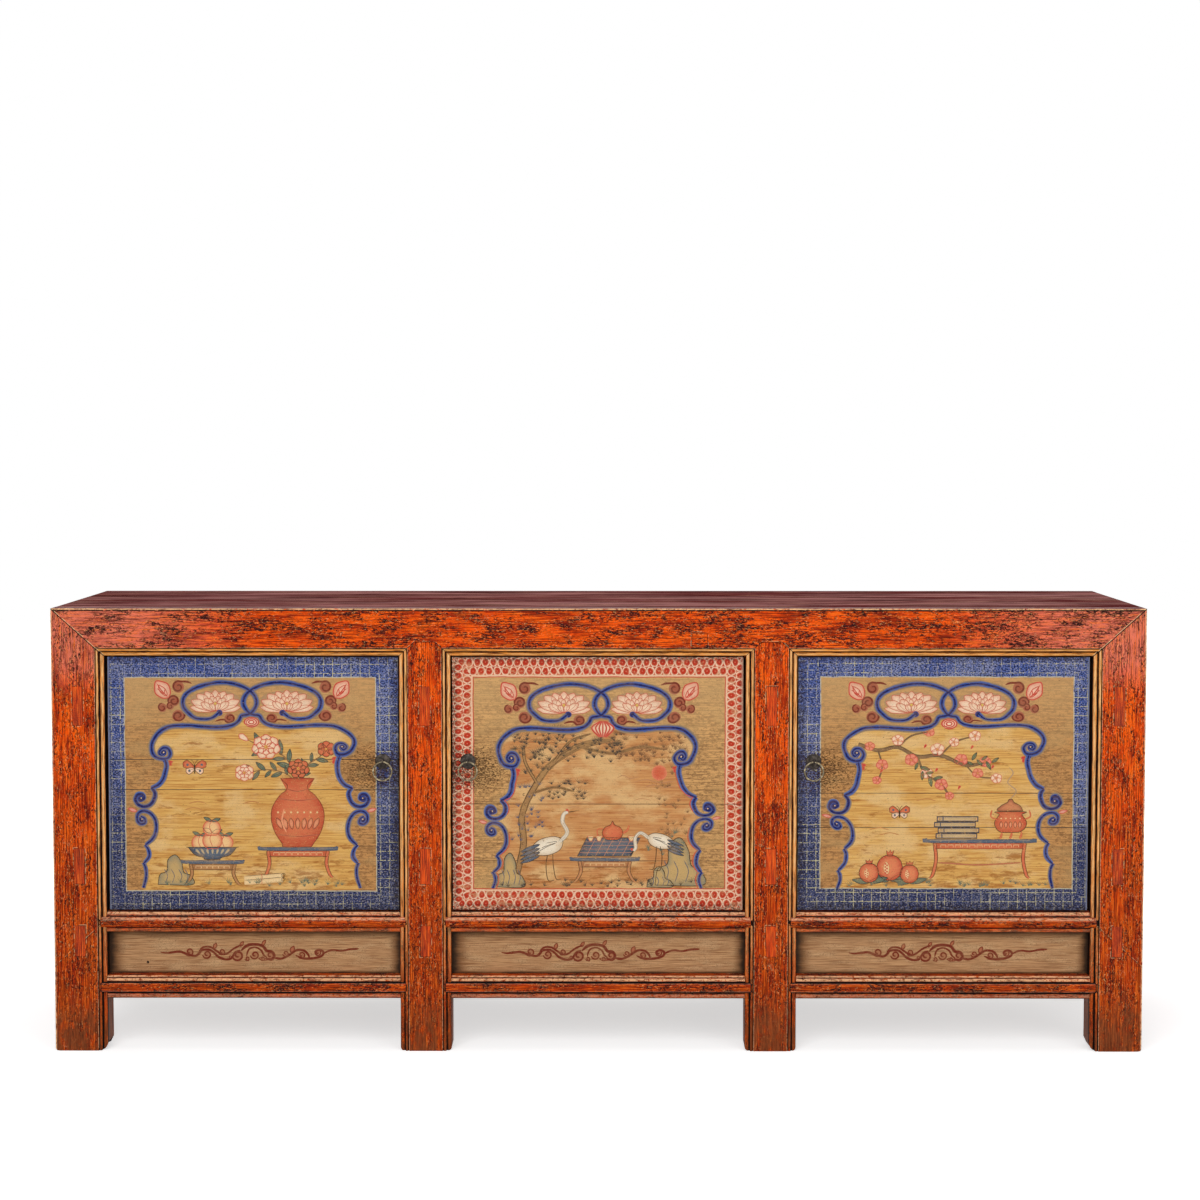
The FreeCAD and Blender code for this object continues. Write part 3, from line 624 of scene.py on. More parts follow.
@dataclass(frozen=True)
class FramePaint:
    """Old vermilion lacquer on the front frame, with ochre beads, dark flecks, worn arrises, painted highlight on bead
    crests and sill noses, and painted shade in the quirks.
    """

    name: str
    grain: Grain
    flecks: float = 1.0
    red: Colour = colour(238, 66, 0)
    orange: Colour = colour(250, 92, 4)
    deep: Colour = colour(140, 34, 6)
    brown: Colour = colour(128, 50, 12)
    fleck: Colour = colour(44, 20, 24)
    cream: Colour = colour(238, 200, 150)
    grime: Colour = colour(22, 14, 12)
    pink: Colour = colour(232, 124, 100)
    bare: Colour = colour(150, 78, 40)
    maroon: Colour = colour(98, 42, 40)

    @property
    def gilding(self) -> tuple[Colour, Colour]:
        """The beads' ochre and the pale colour on their crests, a painted highlight, which differ between rails and
        posts.
        """
        pairs = {Grain.LEVEL: ((248, 150, 58), (244, 176, 96)), Grain.UPRIGHT: ((246, 154, 72), (252, 196, 126))}
        return tuple(colour(*screen) for screen in pairs[self.grain])

    def build(self) -> bpy.types.Material:
        """The material; every coat lies over the last, from broad tones to scratches.

        Returns:
            The material.
        """
        g = Graph(self.name, specular=0.07, grain=self.grain)
        crest, groove, arris, bead = g.attribute()
        fibre = g.noise((1.5, 46), 5, 0.68, 1)
        tone = g.noise((26, 90), 4, 0.62, 2)
        patch = g.noise((26, 60), 4, 0.68, 3)
        bar = 0.635 - patch.ramp(0.4, 0.62) * (0.1 * self.flecks)
        fleck = (g.noise((2.6, 9), 5, 0.74, 4) - bar).ramp(0.0, 0.015)
        speck = g.noise((2.2, 5), 3, 0.65, 5).ramp(0.53, 0.57) * patch.ramp(0.34, 0.56)
        light = g.noise((1.6, 5), 3, 0.6, 14).ramp(0.6, 0.68) * patch.ramp(0.36, 0.52)
        scratch = g.noise((5, 15), 3, 0.55, 6).near(0.5, 0.004, 0.006)
        scratch = scratch * g.noise((36, 36, 36), 3, 0.6, 7).ramp(0.58, 0.68)
        crack = g.noise((12, 240), 2, 0.5, 15).near(0.5, 0.0025, 0.004)
        crack = crack * g.noise((50, 50, 70), 2, 0.6, 16).ramp(0.5, 0.6)
        wood = g.mix(g.noise((2.2, 2.2, 40), 4, 0.7, 8).ramp(0.36, 0.66), self.bare, colour(84, 42, 22))
        foot = (g.z + (tone - 0.5) * 190).ramp(120, 40) * g.noise((14, 14, 34), 4, 0.7, 9).ramp(0.32, 0.56) * 0.9
        wash = g.noise((3.2, 26), 4, 0.7, 10)
        ochre, pale = self.gilding
        # The pale and cream coats on the bead crests are painted highlight along the round crests.
        gilt = g.coats(
            g.mix(wash.ramp(0.42, 0.6), ochre, colour(176, 88, 30)),
            (crest.ramp(0.45, 1.0) * wash.ramp(0.34, 0.56), pale),
            (crest.ramp(0.85, 1.0) * fibre.ramp(0.5, 0.42) * 0.7, self.cream),
            (fibre.ramp(0.5, 0.6) * 0.8, colour(88, 38, 16)),
        )
        # Pale rim colour on arrises: worn corners, and painted highlight on the sill noses, sill bevels and the bottom
        # rails' upper beads and ledges.
        rim = g.coats(
            g.mix(arris.ramp(0.4, 0.9), colour(234, 166, 130), colour(255, 204, 146)),
            (g.noise((2.4, 16), 4, 0.7, 18).ramp(0.52, 0.6) * 0.85, colour(110, 42, 26)),
        )
        paint = g.coats(
            g.mix(tone.ramp(0.36, 0.64), self.red, self.orange),
            (tone.ramp(0.52, 0.38) * 0.85, self.deep),
            (g.z.ramp(640, 120) * tone.ramp(0.3, 0.62) * 0.75, self.brown),
            (abs(g.x).ramp(640, 940) * g.z.ramp(680, 770) * tone.ramp(0.24, 0.5) * 0.9, self.pink),
            (fibre.ramp(0.51, 0.57) * 0.84, FIBRE_DARK),
            (fibre.ramp(0.46, 0.4) * 0.8, FIBRE_LIGHT),
            (fleck * 0.92, self.fleck),
            (speck * 0.85, self.grime),
            (light * 0.75, colour(246, 172, 108)),
            (scratch * 0.55, self.cream),
            (crack * 0.85, self.grime),
            (foot, wood),
            (bead * g.z.ramp(60, 420), gilt),
            (arris.ramp(0.0, 0.66) * g.noise((5, 5, 5), 3, 0.7, 11).ramp(0.34, 0.5) * 0.9, rim),
            # Dark coat in the quirks, at the feet of the beads, under the sill noses and round the lapped ends: painted
            # shade, with some grime.
            ((groove + (wash - 0.5) * 0.5).ramp(0.12, 0.42), self.grime),
            (g.y.ramp(FRONT + 12, FRONT + 16) * g.z.ramp(104, 98), wood),
            *self._mitres(g),
            *self._joints(g),
        )
        # Maroon on the rail's top edge, with paler streaks that are painted sheen as on the top boards.
        lacquer = g.mix(g.noise((60, 4, 4), 4, 0.6, 12).ramp(0.4, 0.7), self.maroon, colour(116, 66, 66))
        paint = g.mix(g.z.ramp(HEIGHT - 1.3, HEIGHT - 0.7) * arris.ramp(0.4, 0.1), paint, lacquer)
        g.raised((fibre, 0.3), (fleck, -0.18), (scratch, -0.12), (crack, -0.3), (foot, -0.2))
        return g.finish(paint, tone * 0.25 + 0.36 + fleck * 0.2)

    def _joints(self, g: Graph) -> list[tuple]:
        """Dark and pale lines round the tenon ends, the plug of the top rail and the stile heads.

        Args:
            g: The material's graph.

        Returns:
            The coats; each line lies where the distance outside a box is about 0.
        """
        broken = g.noise((7, 7, 7), 3, 0.65, 17)
        coats = []
        away = abs(g.x)
        from_stile = abs(away - STILE_MIDDLE)
        if self.grain is Grain.LEVEL:
            boxes = [(abs(g.x - 194.5), 797.5, 14.5, 14.5)]
            coats.append((g.z.near(HEIGHT - 3.4, 1.0, 1.0) * broken.ramp(0.3, 0.44) * 0.9, self.grime))
        else:
            side = g.maths("MINIMUM", abs(away - 999.5), from_stile)
            boxes = [(side, 670.5, 9.5, 37.5), (side, 360.0, 9.5, 34.0), (side, 214.5, 9.5, 29.5)]
        outlines = [(across - half).max(abs(g.z - middle) - tall) for across, middle, half, tall in boxes]
        shoulder = (STILE_WIDTH / 2 - from_stile) * RAIL_SPREAD
        head = g.z - DOOR_HEAD - g.maths("MINIMUM", shoulder, STILE_HEAD)
        outlines.append(head + (g.z.ramp(DOOR_HEAD, DOOR_HEAD - 1.0) if self.grain is Grain.LEVEL else 0.0))
        for out in outlines:
            coats.append((out.near(2.0, 0.4, 0.8) * broken.ramp(0.48, 0.58) * 0.45, self.cream))
            coats.append((out.near(0.4, 0.5, 0.7) * broken.ramp(0.4, 0.52) * 0.8, self.grime))
        return coats

    def _mitres(self, g: Graph) -> list[tuple]:
        """A dark open joint with a worn cream lip along the two corner mitres.

        Args:
            g: The material's graph.

        Returns:
            The coats, by the distance from the line through the corner.
        """
        side = -LEFT - abs(g.x)
        away = (side * RAIL_SPREAD - (HEIGHT - g.z)) * 0.74
        inside = side.ramp(104, 101) * g.z.ramp(DOOR_HEAD - 4, DOOR_HEAD - 1)
        broken = g.noise((9, 9, 9), 2, 0.6, 13).ramp(0.36, 0.5)
        lip, joint = away.near(1.7, 0.35, 0.5) * inside * broken * 0.8, away.near(0.0, 0.6, 0.6) * inside * 0.95
        return [(lip, self.cream), (joint, self.grime)]


@dataclass(frozen=True)
class PanelPaint:
    """Thin old paint over boards; outside says which faces carry it, and the rest stays bare wood."""

    name: str
    grain: Grain
    ground: Colour = colour(0, 0, 0)
    streak: Colour = colour(0, 0, 0)
    chip: Colour = colour(96, 62, 38)
    roughness: float = 0.5
    outside: Outside = Outside.NOWHERE

    def build(self) -> bpy.types.Material:
        """The material: a ground colour brushed along the grain, with chips and bare inner sides.

        Returns:
            The material.
        """
        g = Graph(self.name, self.roughness, 0.0 if self.outside is Outside.TOP else 0.2, self.grain)
        tone = g.noise((45, 160), 3, 0.6, 22)
        fibre = g.noise((2.0, 60), 5, 0.65, 21)
        brushed = fibre
        if self.outside is Outside.TOP:
            # On the top, the long streaks between ground and streak colour carry painted sheen.
            brushed = g.noise((500, 32, 15) if self.grain is Grain.LEVEL else (15, 15, 240), 5, 0.72, 24)
        chips = g.noise((3, 14), 4, 0.7, 23).ramp(0.66, 0.72)
        front = g.y.ramp(FRONT + 1.2, FRONT + 0.8)
        hair = g.noise((1.5, 1.5, 46), 5, 0.68, 1)
        paint = g.coats(
            g.mix(brushed.ramp(0.4, 0.62), self.ground, self.streak),
            (tone.ramp(0.55, 0.3) * 0.5, self.chip),
            (chips * 0.85, self.chip),
            (hair.ramp(0.51, 0.57) * front * 0.84, FIBRE_DARK),
            (hair.ramp(0.46, 0.4) * front * 0.8, FIBRE_LIGHT),
        )
        wood = g.coats(
            g.mix(fibre.ramp(0.38, 0.66), colour(150, 112, 74), colour(104, 72, 44)),
            (tone.ramp(0.5, 0.32) * 0.5, colour(82, 58, 38)),
        )
        if self.outside is Outside.NOWHERE:
            paint = wood
        elif self.outside is Outside.FRONT:
            paint = g.mix(g.y.ramp(FRONT + 1.5, FRONT + 2.5), paint, wood)
        elif self.outside is Outside.ENDS:
            paint = g.mix(abs(g.x).ramp(-LEFT - 24, -LEFT - 22).max(front), wood, paint)
        else:
            lacquered = g.z.ramp(HEIGHT - 2.0, HEIGHT - 1.0).max(abs(g.x).ramp(-LEFT - 3, -LEFT - 1))
            worn = g.coats(
                paint,
                (g.noise((7, 260), 4, 0.7, 25).ramp(0.52, 0.58) * 0.85, self.chip),
                (g.noise((5, 150), 4, 0.7, 26).ramp(0.57, 0.65) * 0.75, colour(186, 134, 112)),
            )
            paint = g.mix(lacquered, wood, worn)
        g.raised((brushed, 0.25), (chips, -0.15))
        return g.finish(paint, tone * 0.3 + (self.roughness - 0.15))


# Colours of the top's lacquer: maroon ground; paler streaks that are painted sheen along the boards; dark chips; then
# roughness and which faces carry it.
TOP_LACQUER_AND_SHEEN = (colour(100, 38, 38), colour(172, 118, 114), colour(44, 18, 20), 0.5, Outside.TOP)


@dataclass(frozen=True)
class Iron:
    """Hand-forged iron, darkened, with bright worn patches where it is touched; on the ring these patches are lightened
    further as a painted highlight that stands in for glints.
    """

    name: str
    dark: Colour
    rubbed: Colour
    metallic: float = 0.75

    def build(self) -> bpy.types.Material:
        """The material: dark oxide with bright worn patches, which on the ring also stand in for glints as painted
        highlight, and small pits.

        Returns:
            The material.
        """
        g = Graph(self.name, 0.5, 0.5)
        g.shader.inputs["Metallic"].default_value = self.metallic
        patch = g.noise((6, 6, 6), 4, 0.65, 31)
        pits = g.noise((1.1, 1.1, 1.1), 3, 0.6, 32).ramp(0.6, 0.72)
        base = g.coats(self.dark, (patch.ramp(0.46, 0.66), self.rubbed), (pits * 0.6, colour(30, 26, 23)))
        g.raised((pits, -0.12), (patch, 0.25))
        return g.finish(base, patch.ramp(1.1, 0.1))


@dataclass(frozen=True)
class DoorGround:
    """A door's painted ground: field, picture ground and patterned border, with its board joints."""

    bay: Bay
    middle: Place
    half: Place
    joints: tuple[float, ...]
    pull: float
    lattice_cell: float = 8.8
    scale: Place = (15.5, 17.0)

    def build(self) -> bpy.types.Material:
        """The material; the mesh value crest is 1 on the picture ground.

        Returns:
            The material.
        """
        g = Graph(f"{self.bay.word}_door_ground", specular=0.08)
        picture = g.attribute()[0]
        outer = self.bay is not Bay.CENTRE
        # The fourth colour is a lighter tint for the rounded hinge edge, a painted highlight where that edge lies in
        # shade beside the frame.
        khaki, ochre, amber, edge = (
            (colour(200, 146, 88), colour(226, 180, 102), colour(192, 132, 66), colour(168, 176, 206))
            if outer
            else (colour(214, 164, 104), colour(208, 152, 94), colour(184, 120, 72), colour(240, 190, 160))
        )
        streak = g.noise((55, 4, 1.3), 4, 0.6, 41)
        tone = g.noise((80, 40, 40), 4, 0.6, 42)
        stained = g.noise((46, 20, 12), 5, 0.72, 43) + g.z.ramp(440, 320) * 0.08
        khaki_ground = g.coats(
            khaki,
            (streak.ramp(0.44, 0.64) * 0.7, colour(122, 88, 56)),
            (g.noise((7, 7, 3.4), 4, 0.72, 65).ramp(0.48, 0.58) * 0.6, colour(112, 78, 50)),
            (tone.ramp(0.46, 0.68) * 0.5, colour(188, 150, 98)),
            (g.z.ramp(560, 720) * 0.5, colour(208, 166, 112)),
        )
        warm = g.coats(
            ochre,
            (streak.ramp(0.36, 0.66), amber),
            (tone.ramp(0.44, 0.66) * 0.6, colour(232, 196, 138)),
            (stained.ramp(0.57, 0.68) * 0.65, colour(150, 86, 36)),
        )
        away_x = abs(g.x - self.middle[0]) - self.half[0]
        away_z = abs(g.z - self.middle[1]) - self.half[1]
        out = away_x.max(away_z) + (g.noise((30, 30, 30), 2, 0.5, 44) - 0.5) * 3.0
        sideways = g.maths("GREATER_THAN", away_x, away_z)
        run = sideways * g.z + (1.0 - sideways) * g.x
        chip = g.noise((4.5, 3, 2.2), 4, 0.7, 45) + self._near_pull(g) * 0.17
        grit = g.noise((1.5, 1.5, 1.3), 3, 0.6, 59).ramp(0.6, 0.68) * tone.ramp(0.42, 0.62)
        cracks = [
            g.z.near(joint, 0.3, 0.5) * g.noise((38, 8, 8), 3, 0.6, 46 + index).ramp(0.38, 0.5) * 0.6
            for index, joint in enumerate(self.joints)
        ]
        g.raised(*((crack, -0.5) for crack in cracks), (streak, 0.14), (chip.ramp(0.68, 0.74), -0.2))
        flat = g.y.ramp(FRONT + 14.0, FRONT + 12.6)
        # Darker coat in the outer border near the door's edges beside the frame: painted shade, with some dirt.
        dirt_and_shade = out.ramp(24, 38) * g.noise((7, 7, 5), 4, 0.75, 49).ramp(0.4, 0.58) * flat
        bare = g.mix(g.noise((60, 4, 2), 4, 0.6, 51).ramp(0.4, 0.66), colour(156, 116, 76), colour(104, 70, 42))
        ground = g.coats(
            khaki_ground,
            (picture.ramp(0.3, 0.7), warm),
            (out.ramp(-0.5, 0.5), self._lattice(g, out, run) if outer else self._scales(g, out, run)),
            (chip.ramp(0.635, 0.69) * 0.85, colour(58, 36, 22)),
            (grit * 0.6, colour(76, 50, 30)),
            *((crack, colour(48, 30, 20)) for crack in cracks),
            (dirt_and_shade * 0.8, colour(40, 30, 26)),
            # Lighter tint on the rounded hinge edge: painted highlight.
            (g.y.ramp(FRONT + 12.4, FRONT + 15.0) * 0.8, edge),
            (g.y.ramp(FRONT + 16, FRONT + 18), bare),
        )
        return g.finish(ground, tone * 0.3 + 0.38)

    def _near_pull(self, g: Graph) -> Value:
        """1 at the pull, falling to 0 where hands don't reach."""
        across, up = (g.x - self.pull) * 0.012, (g.z - 545.0) * 0.02
        return g.maths("SQRT", across * across + up * up).ramp(1.6, 0.3)

    def _lattice(self, g: Graph, out: Value, run: Value) -> Value:
        """Blue border: a fine pale grid on dark blue, broken by age.

        Args:
            g: The material's graph.
            out: Distance outside the field.
            run: Distance along the border.

        Returns:
            The colour; a line lies wherever a distance folded at every cell is about 0.
        """
        speckle = g.noise((3.4, 3.4, 2.4), 4, 0.72, 52)
        cloud = g.noise((60, 30, 60), 3, 0.6, 53)
        cell = self.lattice_cell
        across, level = (g.maths("PINGPONG", value, cell).near(0.0, 0.4, 0.5) for value in (out + cell, run))
        shown = g.noise((70, 70, 70), 4, 0.7, 54).ramp(0.4, 0.6) * 0.75 + 0.25
        dashes = g.noise((3.4, 3.4, 3.4), 2, 0.6, 47).ramp(0.42, 0.52)
        line = out.near(0.9, 0.7, 0.5) * g.noise((14, 14, 14), 3, 0.6, 55).ramp(0.3, 0.5)
        return g.coats(
            colour(72, 94, 164),
            (cloud.ramp(0.4, 0.6), colour(112, 124, 174)),
            ((g.z + (cloud - 0.5) * 500).ramp(660, 340) * 0.65, colour(50, 52, 76)),
            (speckle.ramp(0.49, 0.55) * 0.94, colour(26, 24, 30)),
            (speckle.ramp(0.44, 0.37) * 0.75, colour(196, 180, 152)),
            ((across.max(level) * shown * dashes * 0.95).max(across * level * 0.9), colour(206, 196, 150)),
            (line * 0.85, colour(206, 196, 164)),
        )

    def _scales(self, g: Graph, out: Value, run: Value) -> Value:
        """Red border of the centre door: rows of scales with a red eye, and a double line inside.

        Args:
            g: The material's graph.
            out: Distance outside the field.
            run: Distance along the border.

        Returns:
            The colour, by the distance from the middle of a cell, where every other row is shifted by half.
        """
        wave = (g.noise((9, 9, 9), 2, 0.5, 56) - 0.5) * 3.4
        row = (out + wave - 4.0) / self.scale[1]
        cell = (run + wave) / self.scale[0] + g.maths("MODULO", g.maths("FLOOR", row), 2.0) * 0.5
        across, up = g.maths("FRACT", cell) - 0.5, g.maths("FRACT", row) - 0.5
        away = g.maths("SQRT", across * across + up * up * 0.8)
        kept = g.noise((11, 11, 9), 3, 0.7, 48).ramp(0.3, 0.46)
        return g.coats(
            colour(214, 116, 82),
            (g.noise((8, 8, 8), 4, 0.7, 57).ramp(0.36, 0.62), colour(184, 66, 42)),
            (away.near(0.44, 0.04, 0.05) * kept * 0.92, colour(240, 206, 176)),
            (away.ramp(0.32, 0.24) * 0.9, colour(186, 44, 26)),
            (away.ramp(0.12, 0.05) * 0.6, colour(222, 128, 98)),
            (g.noise((22, 22, 9), 5, 0.75, 58).ramp(0.52, 0.64) * 0.6, colour(204, 150, 108)),
            (g.noise((3, 3, 2.4), 4, 0.7, 60).ramp(0.58, 0.68) * 0.6, colour(96, 54, 40)),
            (out.ramp(5.4, 4.4) * 0.95, colour(234, 192, 156)),
            (out.near(0.6, 0.9, 0.5) * 0.95, colour(196, 60, 40)),
        )


@dataclass(frozen=True)
class Brushwork:
    """Painted strokes whose own colour is kept on the mesh, worn through in specks to the ground."""

    name: str
    ground: Colour
    threshold: float = 0.66
    fading: float = 0.3

    def build(self) -> bpy.types.Material:
        """The material: the stroke's colour, uneven along the brush, with worn specks.

        Returns:
            The material.
        """
        g = Graph(self.name, 0.6, 0.12)
        worn = g.noise((3.4, 3, 2.2), 4, 0.72, 62).ramp(self.threshold, self.threshold + 0.05)
        paint = g.coats(
            g.node("ShaderNodeAttribute", attribute_name="wear").outputs["Color"],
            (g.noise((9, 3, 1.4), 4, 0.65, 61).ramp(0.46, 0.66) * self.fading, self.ground),
            (g.noise((30, 20, 18), 4, 0.65, 63).ramp(0.42, 0.7) * self.fading, self.ground),
            (worn * 0.85, self.ground),
            (g.noise((1.6, 1.6, 1.4), 3, 0.6, 64).ramp(0.6, 0.68) * 0.45, colour(60, 42, 30)),
        )
        return g.finish(paint)


@dataclass(frozen=True)
class ApronPaint:
    """Khaki darkened round the aprons' recessed edges by painted shade, with some grime, where the mesh value crest is
    1.
    """

    name: str = "apron_ground"
    khaki: Colour = colour(202, 156, 110)
    streaks: Colour = colour(138, 94, 60)

    def build(self) -> bpy.types.Material:
        """The material: streaks along the board, the shaded rim, grit and chips.

        Returns:
            The material.
        """
        g = Graph(self.name, 0.6, 0.12)
        streak = g.noise((60, 4, 1.6), 5, 0.65, 71)
        tone = g.noise((70, 30, 18), 4, 0.6, 72)
        rim = g.attribute()[0] + (tone - 0.5) * 0.6
        chips = g.noise((6, 3, 2.4), 4, 0.72, 73).ramp(0.67, 0.73)
        base = g.coats(
            self.khaki,
            (streak.ramp(0.36, 0.68), self.streaks),
            (tone.ramp(0.44, 0.66) * 0.5, colour(206, 168, 124)),
            # The brown and near-black rim coats are painted shade in the recess, with some grime.
            (rim.ramp(0.25, 0.75) * 0.7, colour(112, 68, 36)),
            (rim.ramp(0.6, 0.95) * 0.9, colour(34, 24, 18)),
            (g.noise((1.8, 1.8, 1.5), 3, 0.6, 74).ramp(0.55, 0.63) * tone.ramp(0.4, 0.6) * 0.6, colour(86, 54, 34)),
            (chips * 0.8, colour(70, 42, 26)),
        )
        g.raised((streak, 0.2), (chips, -0.15))
        return g.finish(base)


def tagged(
    points: object, crest: object = 0.0, groove: object = 0.0, arris: object = 0.0, bead: float = 0.0
) -> np.ndarray:
    """Section points with their four values beside them: painted highlight on crests, painted shade in grooves, pale
    arrises, and bead paint.
    """
    points = np.array(points, dtype=float)
    return np.column_stack((points, *(np.broadcast_to(v, len(points)) for v in (crest, groove, arris, bead))))


SWELL = np.sin(np.linspace(0, math.pi, 7))


def bead_arc(a: Place, b: Place, c: Place, crest: float, shade: float, arris: float, bead_share: float) -> np.ndarray:
    """A bead's arc of seven points, swelling as sin from 0 to 180 degrees, with painted shade at its feet.

    Args:
        a: Where it starts.
        b: Its crest.
        c: Where it ends.
        crest: How pale its crest is painted, as painted highlight.
        shade: How dark its two feet are painted, as painted shade.
        arris: How much pale rim its crest gets: worn paint, and on the bottom rails' upper beads painted highlight.
        bead_share: How far it is painted as a bead.

    Returns:
        The rows.
    """
    groove = shade * (1 - SWELL) ** 2
    return tagged(arc_through(a, b, c, 7), SWELL * crest, groove, SWELL * arris, bead_share)


@dataclass(frozen=True)
class Moulding:
    """The double bead beside every opening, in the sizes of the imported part."""

    width: float = 17.0
    quirk: float = 1.6
    quirk_depth: float = 2.4
    bead: float = 5.4
    bead_drop: float = 0.4
    step: float = 1.6
    step_depth: float = 6.0
    inner_drop: float = 4.0
    inner_edge: float = 8.0
    inner_crest: float = 0.55

    def rows(self, side: float, inward: int, spread: float = 1.0) -> np.ndarray:
        """From the flat face to the opening: two arcs with a sunk quirk before each.

        Args:
            side: Where the opening is.
            inward: 1 where the face is on the high side of it, -1 on the low side.
            spread: Stretches the bead where the mitre isn't 45 degrees.

        Returns:
            The section's rows.
        """
        outer = self.width - self.quirk
        step = outer - self.bead
        inner = step - self.step
        first = (outer, self.quirk_depth), ((outer + step) / 2, self.bead_drop), (step, self.quirk_depth)
        last = (inner, self.step_depth), (inner * self.inner_crest, self.inner_drop), (0, self.inner_edge)
        parts = [
            tagged([(self.width + 1.3, 0.0)]),
            tagged([(self.width, 0.15)], arris=0.75, groove=0.1),
            tagged([(self.width - 0.3, self.quirk_depth), (outer + 0.1, self.quirk_depth)], groove=1, bead=1),
            bead_arc(*first, 1.0, 0.55, 0.0, 1),
            tagged([(step, self.step_depth), (inner, self.step_depth)], groove=1, bead=1),
            bead_arc(*last, 1.0, 0.6, 0.0, 1),
        ]
        rows = np.concatenate(parts)
        rows[:, 0] = side + inward * rows[:, 0] * spread
        return rows

    def depth(self, across: np.ndarray) -> np.ndarray:
        """How far behind the face the moulding lies at a distance from the opening."""
        rows = self.rows(0.0, 1)[::-1]
        return np.interp(across, rows[:, 0], rows[:, 1])


def plain_arris(side: float, inward: int, radius: float = 2.0) -> np.ndarray:
    """From the flat face round a worn corner, an eighth of a circle at a time, to the side.

    Args:
        side: Where the side is.
        inward: 1 where the face is on the high side of it, -1 on the low side.
        radius: The corner's radius.

    Returns:
        The section's rows.
    """
    mid = radius * (1 - math.sqrt(0.5))
    points = np.array([(radius * 2, 0), (radius, 0), (mid, mid), (0, radius), (0, radius * 2)])
    points[:, 0] = side + inward * points[:, 0]
    return tagged(points, arris=(0, 0.7, 1, 0.7, 0))


def member_loop(
    width: float, low_moulded: bool, high_moulded: bool, spread: float = 1.0, lip: bool = False
) -> np.ndarray:
    """Section across a frame member: low side, face, high side, back.

    Args:
        width: Size across.
        low_moulded: Whether the low side carries the double bead.
        high_moulded: Whether the high side does.
        spread: Stretches the bead where the mitre isn't 45 degrees.
        lip: Adds the door stop and the rebate for the top boards, for the top rail.

    Returns:
        The closed section with its values of worn paint and painted light, divided so that no run is longer than 6 mm.
    """
    low = Moulding().rows(0, 1, spread)[::-1] if low_moulded else plain_arris(0, 1)[::-1]
    high = Moulding().rows(width, -1, spread) if high_moulded else plain_arris(width, -1)
    back = [(width, FRAME_DEPTH), (0, FRAME_DEPTH)]
    if lip:
        back = [(width, 40), (width - 20, 40), (width - 20, 52), (-6, 52), (-6, 32.6), (0, 32.6)]
    return densified(np.concatenate((low, high, tagged(back))), 6.0)


def foot_rise(across: np.ndarray, width: float, low_round: float, high_round: float) -> np.ndarray:
    """Height at which a foot with two rounded corners starts: r - sqrt(r^2 - (r - x)^2).

    Args:
        across: Places across the foot.
        width: The foot's width.
        low_round: Radius of its low corner.
        high_round: Radius of its high corner.

    Returns:
        One height a place.
    """
    rise = np.zeros_like(across)
    for distance, radius in ((across, low_round), (width - across, high_round)):
        short = np.clip(radius - distance, 0, radius)
        rise = np.maximum(rise, radius - np.sqrt(radius**2 - short**2))
    return rise


def dress(piece: bpy.types.Object, node: str, body: str) -> None:
    """Lets a piece stand for its node.

    Args:
        piece: The piece.
        node: The node that it replaces.
        body: The body that it moves with.
    """
    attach(piece, body)
    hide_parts(node)


@dataclass(frozen=True)
class Timber:
    """One timber of the front: its piece, the node it stands for, and the pattern of its wear."""

    node: str
    name: str
    seed: int = 0

    def make(self, shell: Shell, material: bpy.types.Material) -> None:
        """Makes the piece and lets it stand for its node."""
        dress(make_piece(self.name, shell, material), self.node, "carcass")


